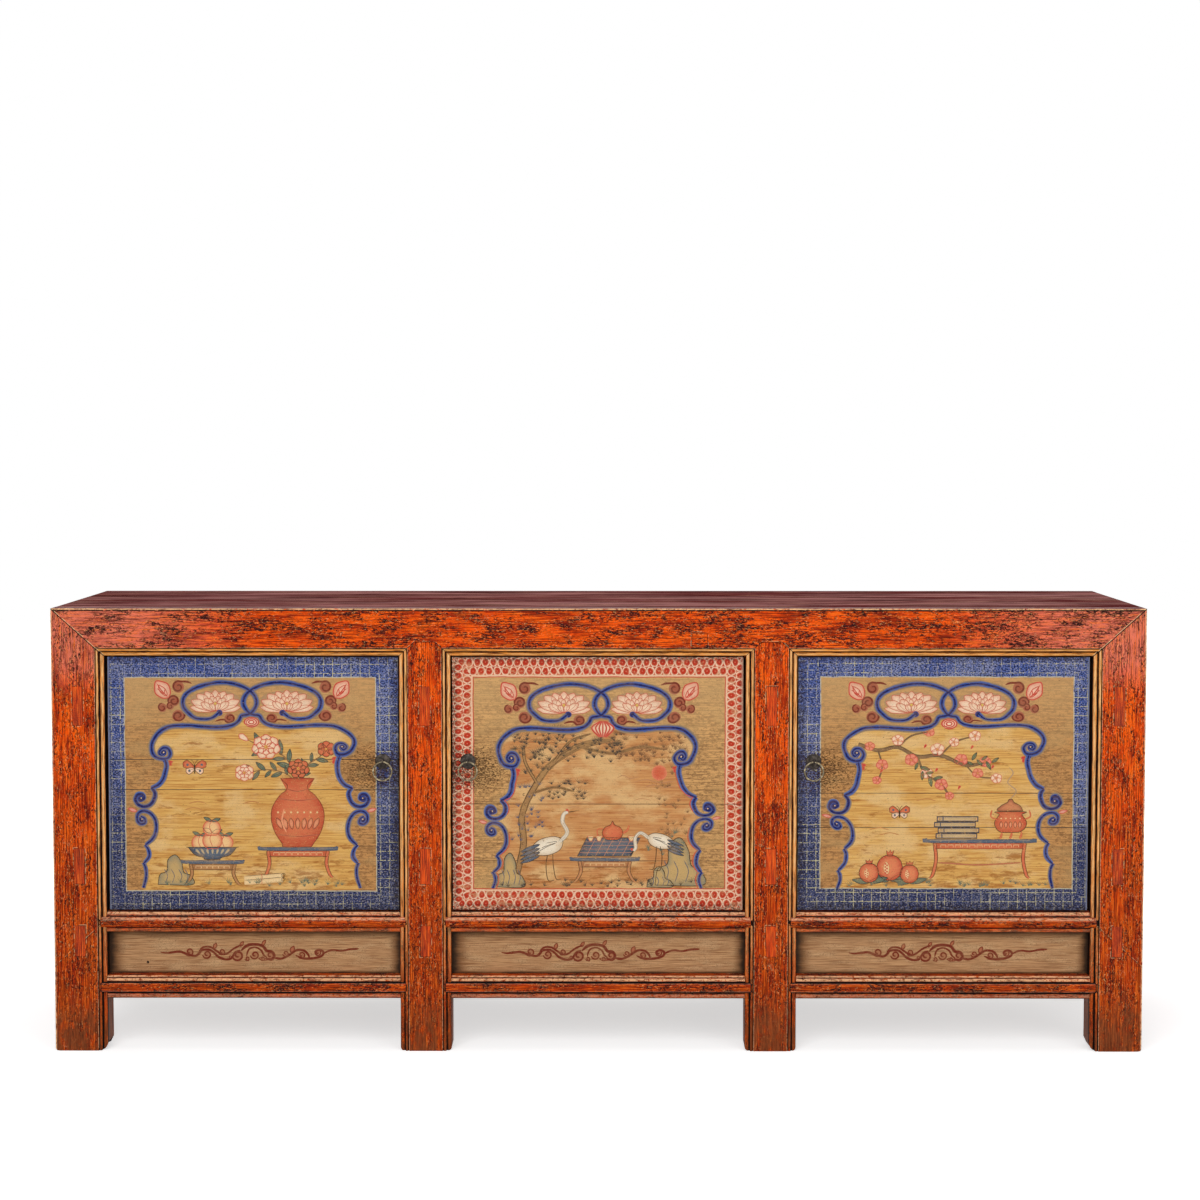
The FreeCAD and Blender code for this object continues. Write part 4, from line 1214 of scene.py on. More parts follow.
@dataclass(frozen=True)
class FrontFrame:
    """Corner posts, stiles, top rail, sill rails and bottom rails of the front."""

    recess: float = 0.45
    gap: float = 0.12
    outer_round: float = 7.0
    inner_round: float = 16.0
    head_depth: float = 20.0
    lap: float = 17.0
    step: float = 5.0
    upright: bpy.types.Material = field(
        default_factory=FramePaint("vermilion_upright", Grain.UPRIGHT, flecks=0.7).build
    )
    level: bpy.types.Material = field(default_factory=FramePaint("vermilion_level", Grain.LEVEL, flecks=1.5).build)

    def build(self) -> None:
        """All the timbers of the front frame."""
        self._corner_post(Timber("front_post_left", "corner_post_left", 11), 1)
        self._corner_post(Timber("front_post_right", "corner_post_right", 23), -1)
        for index, word in enumerate(("left", "right")):
            self._stile(Timber(f"front_stile_{word}", f"stile_{word}", 31 + index), STILE_LEFTS[index])
        self._top_rail(Timber("front_top_rail", "top_rail", 41))
        for bay in Bay:
            self._sill(Timber(f"sill_rail_{bay.word}", f"sill_{bay.word}", 51 + bay.value), bay.left)
            self._bottom_rail(Timber(f"bottom_rail_{bay.word}", f"lower_rail_{bay.word}", 61 + bay.value), bay.left)

    def _corner_post(self, timber: Timber, hand: int) -> None:
        """A post whose outer corner is plain; its top ends in the mitre, a straight line to the opening.

        Args:
            timber: Which post.
            hand: 1 on the left, -1 on the right.
        """
        loop = member_loop(POST_WIDTH, False, True)
        low = foot_rise(loop[:, 0], POST_WIDTH, self.outer_round, self.inner_round)
        high = HEIGHT - np.clip(loop[:, 0], 0, POST_WIDTH) * RAIL_SPREAD - self.gap
        places = stations(0, HEIGHT, self.step, ((0, 17), (DOOR_HEAD - 3, HEIGHT)))
        shell = sweep(loop, places, low, high, Grain.UPRIGHT, (LEFT, FRONT + self.recess), seed=timber.seed)
        shell.points[:, 0] *= hand
        timber.make(shell, self.upright)

    def _stile(self, timber: Timber, left: float) -> None:
        """A stile beaded on both sides whose mitred head lies in the face of the top rail.

        Args:
            timber: Which stile.
            left: X of its left side.
        """
        loop = member_loop(STILE_WIDTH, True, True)
        low = foot_rise(loop[:, 0], STILE_WIDTH, self.outer_round, self.outer_round)
        rise = self._head_rise(loop[:, 0])
        high = DOOR_HEAD + np.where(loop[:, 1] <= self.head_depth + 0.01, rise, 0) - 0.15
        top = DOOR_HEAD + STILE_HEAD
        places = stations(0, top, self.step, ((0, 8), (DOOR_HEAD - 3, top)))
        face = FRONT + self.recess - 0.2
        timber.make(sweep(loop, places, low, high, Grain.UPRIGHT, (left, face), seed=timber.seed), self.upright)

    def _top_rail(self, timber: Timber) -> None:
        """The long rail: mitred at both ends, notched for the stile heads, rebated for the top.

        Args:
            timber: Its piece and node.
        """
        loop = member_loop(TOP_RAIL_TALL, True, False, RAIL_SPREAD, lip=True)
        start = LEFT + np.clip(TOP_RAIL_TALL - loop[:, 0], 0, TOP_RAIL_TALL) / RAIL_SPREAD + self.gap
        fine = [(LEFT, LEFT + 104), (-LEFT - 104, -LEFT)]
        fine += [(x + near, x + far) for x in STILE_LEFTS for near, far in ((-2, 32), (67, 101))]
        places = stations(LEFT, -LEFT, self.step, tuple(fine))
        face = FRONT + self.recess
        shell = sweep(loop, places, start, -start, Grain.LEVEL, (DOOR_HEAD, face), seed=timber.seed)
        for left in STILE_LEFTS:
            self._cut_head(shell, left, face)
        timber.make(shell, self.level)

    def _head_rise(self, across: np.ndarray) -> np.ndarray:
        """How far a stile's head reaches above the opening: two mitres and a flat top."""
        return np.clip(np.minimum(across, STILE_WIDTH - across) * RAIL_SPREAD, 0, STILE_HEAD)

    def _cut_head(self, shell: Shell, left: float, face: float) -> None:
        """Draws the top rail's front back from where a stile's head lies in it.

        Args:
            shell: The rail, which is changed: its points inside the head move up to its outline.
            left: X of the stile's left side.
            face: Y of the rail's face.
        """
        points = shell.points
        across = points[:, 0] - left
        rise = np.where((across > 0) & (across < STILE_WIDTH), self._head_rise(across), 0.0)
        inside = (rise > 0) & (points[:, 1] < face + self.head_depth) & (points[:, 2] < DOOR_HEAD + rise)
        points[inside, 2] = DOOR_HEAD + rise[inside]
        depth = Moulding().depth(rise / RAIL_SPREAD)
        points[inside, 1] = np.maximum(points[inside, 1], face + depth[inside])
        shell.wear[inside, 1] = np.maximum(shell.wear[inside, 1], 0.6)

    def _sill(self, timber: Timber, left: float) -> None:
        """A sill rail: its core with a low bead and a bevel, and the bullnose that laps the posts.

        Args:
            timber: Which rail.
            left: X where its bay starts.
        """
        core = (
            bead_arc((231.4, 8.0), (235.9, 4.0), (239.6, 6.0), 0.5, 0.6, 0.2, 0.3),
            tagged([(239.6, 9.0), (261.5, 9.0)], groove=1),
            tagged([(261.5, 7.0)], groove=0.9),
            tagged([(262.9, 7.7)], groove=0.2, arris=0.2),
            # The bevel's pale arris values are painted highlight on a face that slopes up.
            tagged([(266.0, 9.6), (268.4, 10.6)], arris=0.66),
            tagged([(270.0, 11.6), (270.6, 12.0)], groove=0.5),
            tagged([(270.6, 16.0), (270.6, 52.0), (231.4, 52.0)]),
        )
        nose = arc_through((239.6, 6.0), (250.55, 0.0), (261.5, 6.0), 15)
        # Painted highlight on the upper part of the nose, where it faces the light.
        highlight_and_worn_edge = np.exp(-(((np.arange(15) - 11.0) / 1.8) ** 2)) * 0.62
        self._lapping(timber, left, core, nose, highlight_and_worn_edge)

    def _bottom_rail(self, timber: Timber, left: float) -> None:
        """A bottom rail: low bead, swelled band that laps the posts, upper bead and ledge.

        Args:
            timber: Which rail.
            left: X where its bay starts.
        """
        core = (
            bead_arc((101.5, 8.0), (107.6, 4.0), (112.6, 6.0), 0.5, 0.6, 0.35, 0.4),
            tagged([(114.0, 6.0), (114.0, 9.0), (133.7, 9.0), (133.7, 3.4)], groove=1),
            # The upper bead's and the ledge's arris values are painted highlight on faces that catch the light from
            # above.
            bead_arc((134.9, 3.0), (138.65, 1.2), (142.4, 4.5), 0.0, 0.6, 0.75, 0.0),
            tagged([(142.6, 4.7)], groove=0.9),
            tagged([(143.4, 5.4), (145.6, 7.6)], arris=0.64),
            tagged([(146.0, 8.0), (146.0, 20.0), (146.0, 52.0), (101.5, 52.0)]),
        )
        band = arc_through((114.0, 1.2), (123.85, 0.0), (133.7, 1.2), 9)
        self._lapping(timber, left, core, band, np.array((0.7, 0.2, 0, 0, 0, 0, 0, 0.2, 0.7)))

    def _lapping(self, timber: Timber, left: float, core: tuple, band: np.ndarray, highlight_and_worn_edge: np.ndarray) -> None:
        """A rail's core between the posts and its band, whose ends lap the beads in quarter circles of 6 mm.

        Args:
            timber: Which rail.
            left: X where its bay starts.
            core: The parts of the core's section.
            band: The band's front.
            highlight_and_worn_edge: How pale each point of the band is: worn edges on the bottom rails, painted
                highlight on the upper part of the sill's nose.
        """
        right = left + BAY_WIDTH
        loop = densified(np.concatenate(core), 7.0)
        places = stations(left, right, self.step)
        body = sweep(loop, places, left, right, Grain.LEVEL, (0, FRONT + 0.2), seed=timber.seed)
        groove = np.zeros(len(band))
        groove[[0, -1]] = 1.0
        back = tagged([(band[-1, 0], 9.0), (band[0, 0], 9.0)], groove=1)
        ring = densified(np.concatenate((tagged(band, groove=groove, arris=highlight_and_worn_edge), back)), 7.0)
        inset = 6.0 - np.sqrt(36.0 - np.clip(6.0 - ring[:, 1], 0, 6) ** 2)
        low, high = left - self.lap, right + self.lap
        start = low + inset
        places = stations(low, high, self.step, ((low, left - 8), (right + 8, high)))
        lap = sweep(ring, places, start, left + right - start, Grain.LEVEL, (0, FRONT), seed=timber.seed + 5)
        from_end = np.minimum(lap.points[:, 0] - low, high - lap.points[:, 0])
        # Dark outline round the band's rounded ends: painted shade where they stand over the beads.
        lap.wear[:, 1] = np.maximum(lap.wear[:, 1], np.clip(1.0 - (from_end - 5.0) / 1.4, 0, 1))
        timber.make(Shell.joined([body, lap]), self.level)


@dataclass(frozen=True)
class Boards:
    """Apron panels and top boards, swept along their grain."""

    tongue: float = 8.0
    apron_low: float = 138.0
    apron_high: float = 239.4
    apron_thick: float = 12.0
    shade: float = 26.0
    butt: float = 332.833
    top_start: float = 40.0
    top_deep: float = 380.0
    top_shares: tuple[float, ...] = (0.0, 0.158, 0.395, 0.70, 1.0)

    def aprons(self) -> None:
        """The three khaki boards between the sill rails and the bottom rails."""
        material = ApronPaint().build()
        near, far = APRON_DEPTH, APRON_DEPTH + self.apron_thick
        low, high = self.apron_low, self.apron_high
        loop = densified(tagged([(low, near), (high, near), (high, far), (low, far)]), 5.0)
        for bay in Bay:
            left, right = bay.left - self.tongue, bay.left + BAY_WIDTH + self.tongue
            places = stations(left, right, 5.0)
            shell = sweep(loop, places, left, right, Grain.LEVEL, (0, FRONT), APRON_WORN, 71 + bay.value)
            x, z = shell.points[:, 0], shell.points[:, 2]
            sides = np.minimum((x - left - self.tongue) * 0.55, (right - self.tongue - x) * 0.8)
            from_edge = np.minimum(np.minimum(sides, (z - 146) * 3.0), 231.4 - z)
            # The value rises towards the rims of the recessed board, where painted shade and some grime darken it.
            shell.wear[:, 0] = np.clip(1.0 - from_edge / self.shade, 0, 1)
            Timber(f"apron_panel_{bay.word}", f"apron_{bay.word}").make(shell, material)

    def top(self) -> None:
        """The top's boards, each with softened long edges."""
        material = PanelPaint("top_lacquer", Grain.LEVEL, *TOP_LACQUER_AND_SHEEN).build()
        low, soft, high, gap = 838.0, 857.2, 857.85, 0.15
        for word, left, right in (("left", LEFT + 0.2, self.butt - 0.2), ("right", self.butt + 0.2, -LEFT - 0.2)):
            shells = []
            for index, (near, far) in enumerate(zip(self.top_shares, self.top_shares[1:])):
                front = self.top_start + self.top_deep * near + gap
                back = self.top_start + self.top_deep * far - gap
                section = [
                    (low, front), (soft, front), (high, front + 0.7), (high, back - 0.7), (soft, back), (low, back),
                ]
                places = stations(left, right, 12.0)
                loop = densified(tagged(section), 12.0)
                shells.append(sweep(loop, places, left, right, Grain.LEVEL, (0, FRONT), TOP_WORN, 81 + index))
            Timber(f"top_boards_{word}", f"top_planks_{word}").make(Shell.joined(shells), material)


@dataclass(frozen=True)
class Ink:
    """A paint's colours at a stroke's edge and in its middle."""

    edge: Colour
    middle: Colour

    @staticmethod
    def of(*screen: int) -> "Ink":
        """An ink from the six screen values of its edge and its middle."""
        return Ink(colour(*screen[:3]), colour(*screen[3:]))


BLUE = Ink.of(98, 120, 168, 44, 70, 146)
CORE = Ink.of(30, 46, 118, 12, 22, 80)
KNOB = Ink(BLUE.middle, CORE.middle)
DUST = Ink.of(160, 136, 108, 112, 100, 92)
BROWN = Ink.of(164, 86, 58, 104, 34, 26)
RED = Ink.of(222, 122, 100, 198, 56, 44)
LINE = Ink.of(82, 60, 42, 32, 26, 24)
PETAL = Ink.of(228, 168, 136, 244, 212, 180)
HOLE = Ink.of(40, 28, 20, 28, 20, 16)
SALMON = Ink.of(186, 72, 48, 214, 112, 76)
ROSE = Ink.of(186, 76, 54, 226, 146, 108)
LEAF = Ink.of(70, 86, 84, 104, 118, 96)
OLIVE = Ink.of(80, 96, 88, 120, 130, 92)
SLATE = Ink.of(54, 66, 84, 86, 100, 116)
PALE = Ink.of(214, 168, 112, 240, 208, 156)
BARK = Ink.of(108, 74, 48, 150, 110, 72)
NEEDLE = Ink.of(78, 66, 52, 46, 48, 52)
COPPER = Ink.of(176, 120, 96, 196, 138, 110)
HAZE = Ink.of(206, 150, 90, 186, 112, 64)


def smooth_path(points: list[Place], step: float = 1.6) -> np.ndarray:
    """A Catmull-Rom curve through the points: a cubic between each two that keeps the slope of their neighbours.

    Args:
        points: The places that it passes.
        step: About how far apart its own places are.

    Returns:
        The curve's places.
    """
    given = np.array(points, dtype=float)
    padded = np.concatenate((2 * given[:1] - given[1:2], given, 2 * given[-1:] - given[-2:-1]))
    parts = []
    for a, b, c, d in zip(padded, padded[1:], padded[2:], padded[3:]):
        count = max(2, math.ceil(np.hypot(*(c - b)) / step))
        t = np.linspace(0, 1, count, endpoint=False)[:, None]
        parts.append(0.5 * (2 * b + (c - a) * t + (2 * a - 5 * b + 4 * c - d) * t**2 + (3 * b - a - 3 * c + d) * t**3))
    return np.concatenate((*parts, given[-1:]))


def spiral(centre: Place, radius: float, start: float, turns: float, shrink: float = 0.78) -> list[Place]:
    """Places on a spiral whose radius falls evenly with its angle.

    Args:
        centre: Its middle.
        radius: Where it starts.
        start: Its first angle in degrees.
        turns: How often it goes round; negative turns the other way.
        shrink: Share of the radius lost at its end.

    Returns:
        The places.
    """
    count = max(6, math.ceil(abs(turns) * 10))
    share = np.linspace(0, 1, count)
    angle = math.radians(start) + 2 * math.pi * turns * share
    away = radius * (1 - shrink * share)
    return list(zip(centre[0] + away * np.cos(angle), centre[1] + away * np.sin(angle)))


def shifted(path: list[Place], across: float = 0.0, up: float = 0.0) -> list[Place]:
    """A path moved across and up."""
    return [(x + across, z + up) for x, z in path]


def rounded(centre: Place, radius: Place, angles: range) -> list[Place]:
    """Places on an ellipse at whole angles in degrees."""
    return [(centre[0] + radius[0] * math.cos(a), centre[1] + radius[1] * math.sin(a)) for a in np.radians(angles)]


def drifted(flat: np.ndarray, drift: np.ndarray) -> np.ndarray:
    """Moves places of the plain ornament to where the painter's hand put them.

    Args:
        flat: Places beside the door's axis and above the floor.
        drift: Rows of height, shift away from the axis and drop.

    Returns:
        The moved places.
    """
    out, drop = (np.interp(flat[:, 1], drift[:, 0], drift[:, column]) for column in (1, 2))
    return np.column_stack((flat[:, 0] + out * np.clip(flat[:, 0] / 130, -1, 1), flat[:, 1] - drop))


@dataclass
class Brush:
    """Lays strokes and patches of paint on an upright face, each a hair above the last.

    Attributes:
        axis: X that all its paths are measured from.
        face: Y of the face.
        worn: How uneven the face is.
        seed: The pattern of that.
        hand: 1 for the left hand of an ornament, -1 for its mirror image.
        drift: How far the painter's hand strays, as drifted() reads it.
        laid: The marks so far.
        reaches: Each mark's reach, from its lowest X and Z to its highest as negatives, and its level.
        lift: How far the first coat stands off the face.
        coat: How much higher each further coat is.
    """

    axis: float
    face: float
    worn: Worn
    seed: int
    hand: float = 1.0
    drift: np.ndarray | None = None
    laid: list[Shell] = field(default_factory=list)
    reaches: np.ndarray = field(default_factory=lambda: np.zeros((0, 5)))
    lift: float = 0.10
    coat: float = 0.008

    def _lay(self, flat: np.ndarray, height: np.ndarray, faces: np.ndarray, colours: np.ndarray) -> None:
        """Keeps one mark, one coat above the highest of the earlier marks whose reach it crosses.

        Args:
            flat: Its places beside the axis and above the floor.
            height: How thick the paint is at each.
            faces: Its faces, which are turned to the front.
            colours: Its colour at each place.
        """
        if self.drift is not None:
            flat = drifted(flat, self.drift)
        x = self.axis + self.hand * flat[:, 0]
        base = np.column_stack((x, np.full(len(x), self.face), flat[:, 1]))
        reach = np.array((x.min(), base[:, 2].min(), -x.max(), -base[:, 2].max()))
        near = (reach[:2] < -self.reaches[:, 2:4]).all(axis=1) & (self.reaches[:, :2] < -reach[2:]).all(axis=1)
        level = self.reaches[near, 4].max(initial=0) + 1
        self.reaches = np.vstack((self.reaches, (*reach, level)))
        base[:, 1] -= self.lift + height + self.coat * level
        corner = base[faces]
        one, two = corner[:, 1] - corner[:, 0], corner[:, 2] - corner[:, 0]
        inward = (one[:, 2] * two[:, 0] - one[:, 0] * two[:, 2]) > 0
        faces = np.where(inward[:, None], faces[:, ::-1], faces)
        self.laid.append(Shell(base, [faces], colours))

    def stroke(
        self, path: list[Place], width: float, ink: Ink, taper: Place = (0.25, 0.25), smooth: bool = True
    ) -> None:
        """One pull of the brush: a crowned ribbon about a path, thinner at its ends, darker in its middle.

        Args:
            path: Places that the brush passes through.
            width: Full width.
            ink: Its colours.
            taper: Share of the width left at the start and at the end.
            smooth: Rounds the path; otherwise it stays straight between its places.
        """
        line = smooth_path(path, max(0.8, min(2.0, width * 0.4))) if smooth else np.array(path, dtype=float)
        run = np.gradient(line, axis=0)
        run /= np.maximum(np.linalg.norm(run, axis=1, keepdims=True), 1e-9)
        side = np.column_stack((-run[:, 1], run[:, 0]))
        gone = np.concatenate(([0], np.cumsum(np.hypot(*np.diff(line, axis=0).T))))
        reach = max(width * 1.8, gone[-1] * 0.12)
        start, end = (
            left + (1 - left) * np.clip(way / reach, 0, 1) ** 0.6 for left, way in zip(taper, (gone, gone[-1] - gone))
        )
        noise = value_noise(np.column_stack((line, np.zeros(len(line)))), 11.0, 3 + len(self.laid))
        half = width / 2 * np.minimum(start, end) * (1 + 0.10 * noise)
        across = np.array((-1.0, -0.62, 0.0, 0.62, 1.0))
        flat = line[:, None] + side[:, None] * (half[:, None] * across)[..., None]
        crown = np.broadcast_to((0.02, 0.06, 0.08, 0.06, 0.02), flat.shape[:2]).ravel()
        share = np.array((0.0, 0.72, 1.0, 0.72, 0.0))[:, None]
        tint = np.array(ink.edge) * (1 - share) + np.array(ink.middle) * share
        colours = np.broadcast_to(tint, (len(line), 5, 4)).reshape(-1, 4)
        self._lay(flat.reshape(-1, 2), crown, grid_faces(len(line), 5), colours)

    def patch(
        self, outline: list[Place], ink: Ink, smooth: bool = True, line: Ink | None = None, width: float = 1.6
    ) -> None:
        """A filled shape: rings drawn in towards its middle, from the edge colour to the middle colour.

        Args:
            outline: Its corners.
            ink: Its colours.
            smooth: Rounds the outline.
            line: The ink of a drawn outline, if it has one.
            width: The width of that outline.
        """
        if smooth:
            ring = smooth_path([*outline, outline[0]], 2.5)[:-1]
        else:
            ring = densified(tagged(outline), 4.0)[:, :2]
        count = len(ring)
        middle = ring.mean(axis=0)
        shares = np.array((1.0, 0.82, 0.55, 0.2))
        flat = middle + (ring[None] - middle) * shares[:, None, None]
        flat = np.concatenate((flat.reshape(-1, 2), middle[None]))
        height = np.concatenate((np.repeat((0.0, 0.015, 0.02, 0.02), count), (0.02,)))
        blend = np.concatenate((np.repeat((0.0, 0.45, 0.9, 1.0), count), (1.0,)))[:, None]
        colours = np.array(ink.edge) * (1 - blend) + np.array(ink.middle) * blend
        self._lay(flat[:-1], height[:-1], grid_faces(4, count, closed=True), colours[:-1])
        last = np.arange(count)
        fan = np.column_stack((last, (last + 1) % count, np.full(count, count)))
        self._lay(flat[-count - 1 :], height[-count - 1 :], fan, colours[-count - 1 :])
        if line is not None:
            self.stroke([*outline, outline[0]], width, line, (0.8, 0.8), smooth)

    def dot(self, centre: Place, radius: float, ink: Ink, turn: float = 0.9) -> None:
        """A round dab."""
        self.patch(spiral(centre, radius, 0, turn, 0.0), ink)

    def petal(
        self, base: Place, tip: Place, breadth: float, ink: Ink, line: Ink | None = RED, point: float = 0.72,
        width: float = 1.3,
    ) -> None:
        """A petal, leaf or bud: eight places at fixed shares of its length and breadth.

        Args:
            base: Where it starts.
            tip: Where it ends.
            breadth: Its greatest width.
            ink: Its colours.
            line: The ink of its outline.
            point: How far along it is widest.
            width: The width of the outline.
        """
        start, end = np.array(base, dtype=float), np.array(tip, dtype=float)
        run = end - start
        side = np.array((-run[1], run[0])) / max(np.hypot(*run), 1e-9) * breadth / 2
        shares = ((0.0, 0.0), (0.3 * point, 0.62), (point, 1.0), ((1 + point) / 2, 0.72), (1.0, 0.0))
        there = [tuple(start + run * s + side * w) for s, w in shares]
        back = [tuple(start + run * s - side * w) for s, w in reversed(shares[1:-1])]
        self.patch([*there, *back], ink, line=line, width=width)

    def blossom(
        self, centre: Place, radius: float, petals: int, ink: Ink = PETAL, line: Ink = RED, turn: float = 90.0,
        rows: int = 1,
    ) -> None:
        """A round flower: petals at even angles, seven stamens and its eye.

        Args:
            centre: Its middle.
            radius: Its reach.
            petals: Petals in a row.
            ink: Their colours.
            line: Their outline.
            turn: The first petal's angle in degrees.
            rows: How many rows of petals, each a third shorter.
        """
        cx, cz = centre
        for row in range(rows):
            away = radius * (1 - 0.34 * row)
            for index in range(petals):
                angle = math.radians(turn + 360 * (index + 0.5 * row) / petals)
                tip = (cx + away * math.cos(angle), cz + 0.86 * away * math.sin(angle))
                self.petal(centre, tip, away * 4.6 / petals, ink, line, 0.74, max(0.8, radius * 0.055))
        for index in range(7):
            angle = math.radians(turn + 20 + index * 360 / 7)
            tip = (cx + radius * 0.3 * math.cos(angle), cz + radius * 0.3 * math.sin(angle))
            self.stroke([centre, tip], max(0.7, radius * 0.05), SALMON, (0.6, 1.0))
        self.dot(centre, radius * 0.13, Ink.of(214, 168, 60, 232, 196, 92))

    def leaves(self, path: list[Place], count: int, length: float, ink: Ink = LEAF) -> None:
        """Leaves along a stem, left and right in turn, leaning towards its tip.

        Args:
            path: The stem.
            count: How many leaves.
            length: About how long they are.
            ink: Their colours.
        """
        stem = smooth_path(path)
        for index in range(count):
            spot = int((0.15 + 0.85 * index / max(1, count - 1)) * (len(stem) - 2))
            run = stem[spot + 1] - stem[spot]
            angle = math.atan2(run[1], run[0]) + (0.8 if index % 2 else -0.8)
            reach = length * (0.75 + 0.35 * ((index * 37) % 10) / 10)
            tip = (stem[spot][0] + reach * math.cos(angle), stem[spot][1] + reach * math.sin(angle))
            self.petal(tuple(stem[spot]), tip, reach * 0.36, ink, LINE, 0.5, 0.8)
            self.stroke([tuple(stem[spot]), tip], 0.7, LINE)

    def lotus(self, centre: Place, width: float, tall: float) -> None:
        """A lotus seen from the side: back petals, long side petals, a front row and a golden heart.

        Args:
            centre: Its middle.
            width: Its width.
            tall: Its height.
        """
        cx, cz = centre
        base = (cx, cz - tall * 0.44)
        self.patch(rounded(centre, (width * 0.5, tall * 0.46), range(0, 360, 30)), Ink.of(176, 138, 100, 196, 150, 110))
        line = Ink.of(214, 116, 88, 190, 62, 44)
        for reach, breadth, *angles in (
            (0.5, 0.2, 90, 68, 112), (0.53, 0.2, 48, 132), (0.5, 0.13, 10, 170), (0.53, 0.17, 28, 152),
            (0.36, 0.17, 80, 102), (0.36, 0.16, 58, 124), (0.34, 0.13, 38, 146), (0.22, 0.13, 92), (0.2, 0.1, 66, 118),
        ):
            for turn in np.radians(angles):
                tip = (base[0] + width * reach * math.cos(turn), base[1] + tall * reach * 1.84 * math.sin(turn))
                self.petal(base, tip, width * breadth, PETAL, line, 0.68, 1.0)
        self.dot((cx, cz - tall * 0.12), 2.8, Ink.of(206, 160, 70, 226, 190, 96))

    def curl(self, centre: Place, radius: float, start: float, turns: float, tail: Place | None = None) -> None:
        """A filled curl: a soft disc with a spiral drawn in it.

        Args:
            centre: Its middle.
            radius: Its reach.
            start: The spiral's first angle in degrees.
            turns: How often the spiral goes round.
            tail: Where the spiral comes from, if it has a tail.
        """
        self.dot(centre, radius * 0.95, Ink.of(178, 108, 80, 160, 82, 58), 0.94)
        path = spiral(centre, radius, start, turns)
        if tail is not None:
            path = [tail, ((tail[0] + path[0][0]) / 2, (tail[1] + path[0][1]) / 2 + 1.5), *path]
        self.stroke(path, radius * 0.36, BROWN, (0.2, 0.6))

    def piece(self, name: str, material: bpy.types.Material, body: str, slot: str) -> None:
        """All that was laid, as one piece that rides on the painted body and follows its uneven face.

        Args:
            name: The piece's name.
            material: Its finish.
            body: The body that it moves with.
            slot: Not used.
        """
        shell = Shell.joined(self.laid)
        flat = shell.points.copy()
        flat[:, 1] = self.face
        shell.points[:, 1] -= unevenness(flat, Grain.LEVEL, self.worn, self.seed)
        result = make_piece(name, shell, material, weld=False)
        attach(result, body)
        self.laid = []


DRIFT_HEIGHTS = (315, 365, 400, 450, 490, 541, 583, 610, 632, 655)
DRIFTS = {
    key: np.column_stack((DRIFT_HEIGHTS, outs, drops)).astype(float)
    for key, outs, drops in (
        ((Bay.LEFT, 1.0), (0, 0, 5, 3, 5, 5, 0, -3, 0, -2), (0, 0, 0, 1, 1, 0, 6, 4, 2, 5)),
        ((Bay.LEFT, -1.0), (1, -2, 5, 8, 9, 8, 9, 8, 5, 5), (0, 0, 0, 1, 1, 0, -6, 0, 1, 5)),
        ((Bay.CENTRE, 1.0), (0, 1, 2, 4, 3, 12, 5, 7, 7, 7), (0, 18, 20, 22, 26, 23, 17, 12, 7, 8)),
        ((Bay.CENTRE, -1.0), (-16, -14, -9, -4, -1, -7, -14, -8, -5, 1), (0, 18, 9, 12, 21, 15, 14, 10, 6, 8)),
        ((Bay.RIGHT, 1.0), (2, 2, -2, 5, 10, 13, 7, 9, 5, 5), (0, 14, 6, 9, 15, 12, 6, 6, 5, 7)),
        ((Bay.RIGHT, -1.0), (-5, -4, -5, -4, 0, -4, -9, -6, -4, -5), (0, 0, -5, 1, 6, -5, -6, -2, 0, 7)),
    )
}


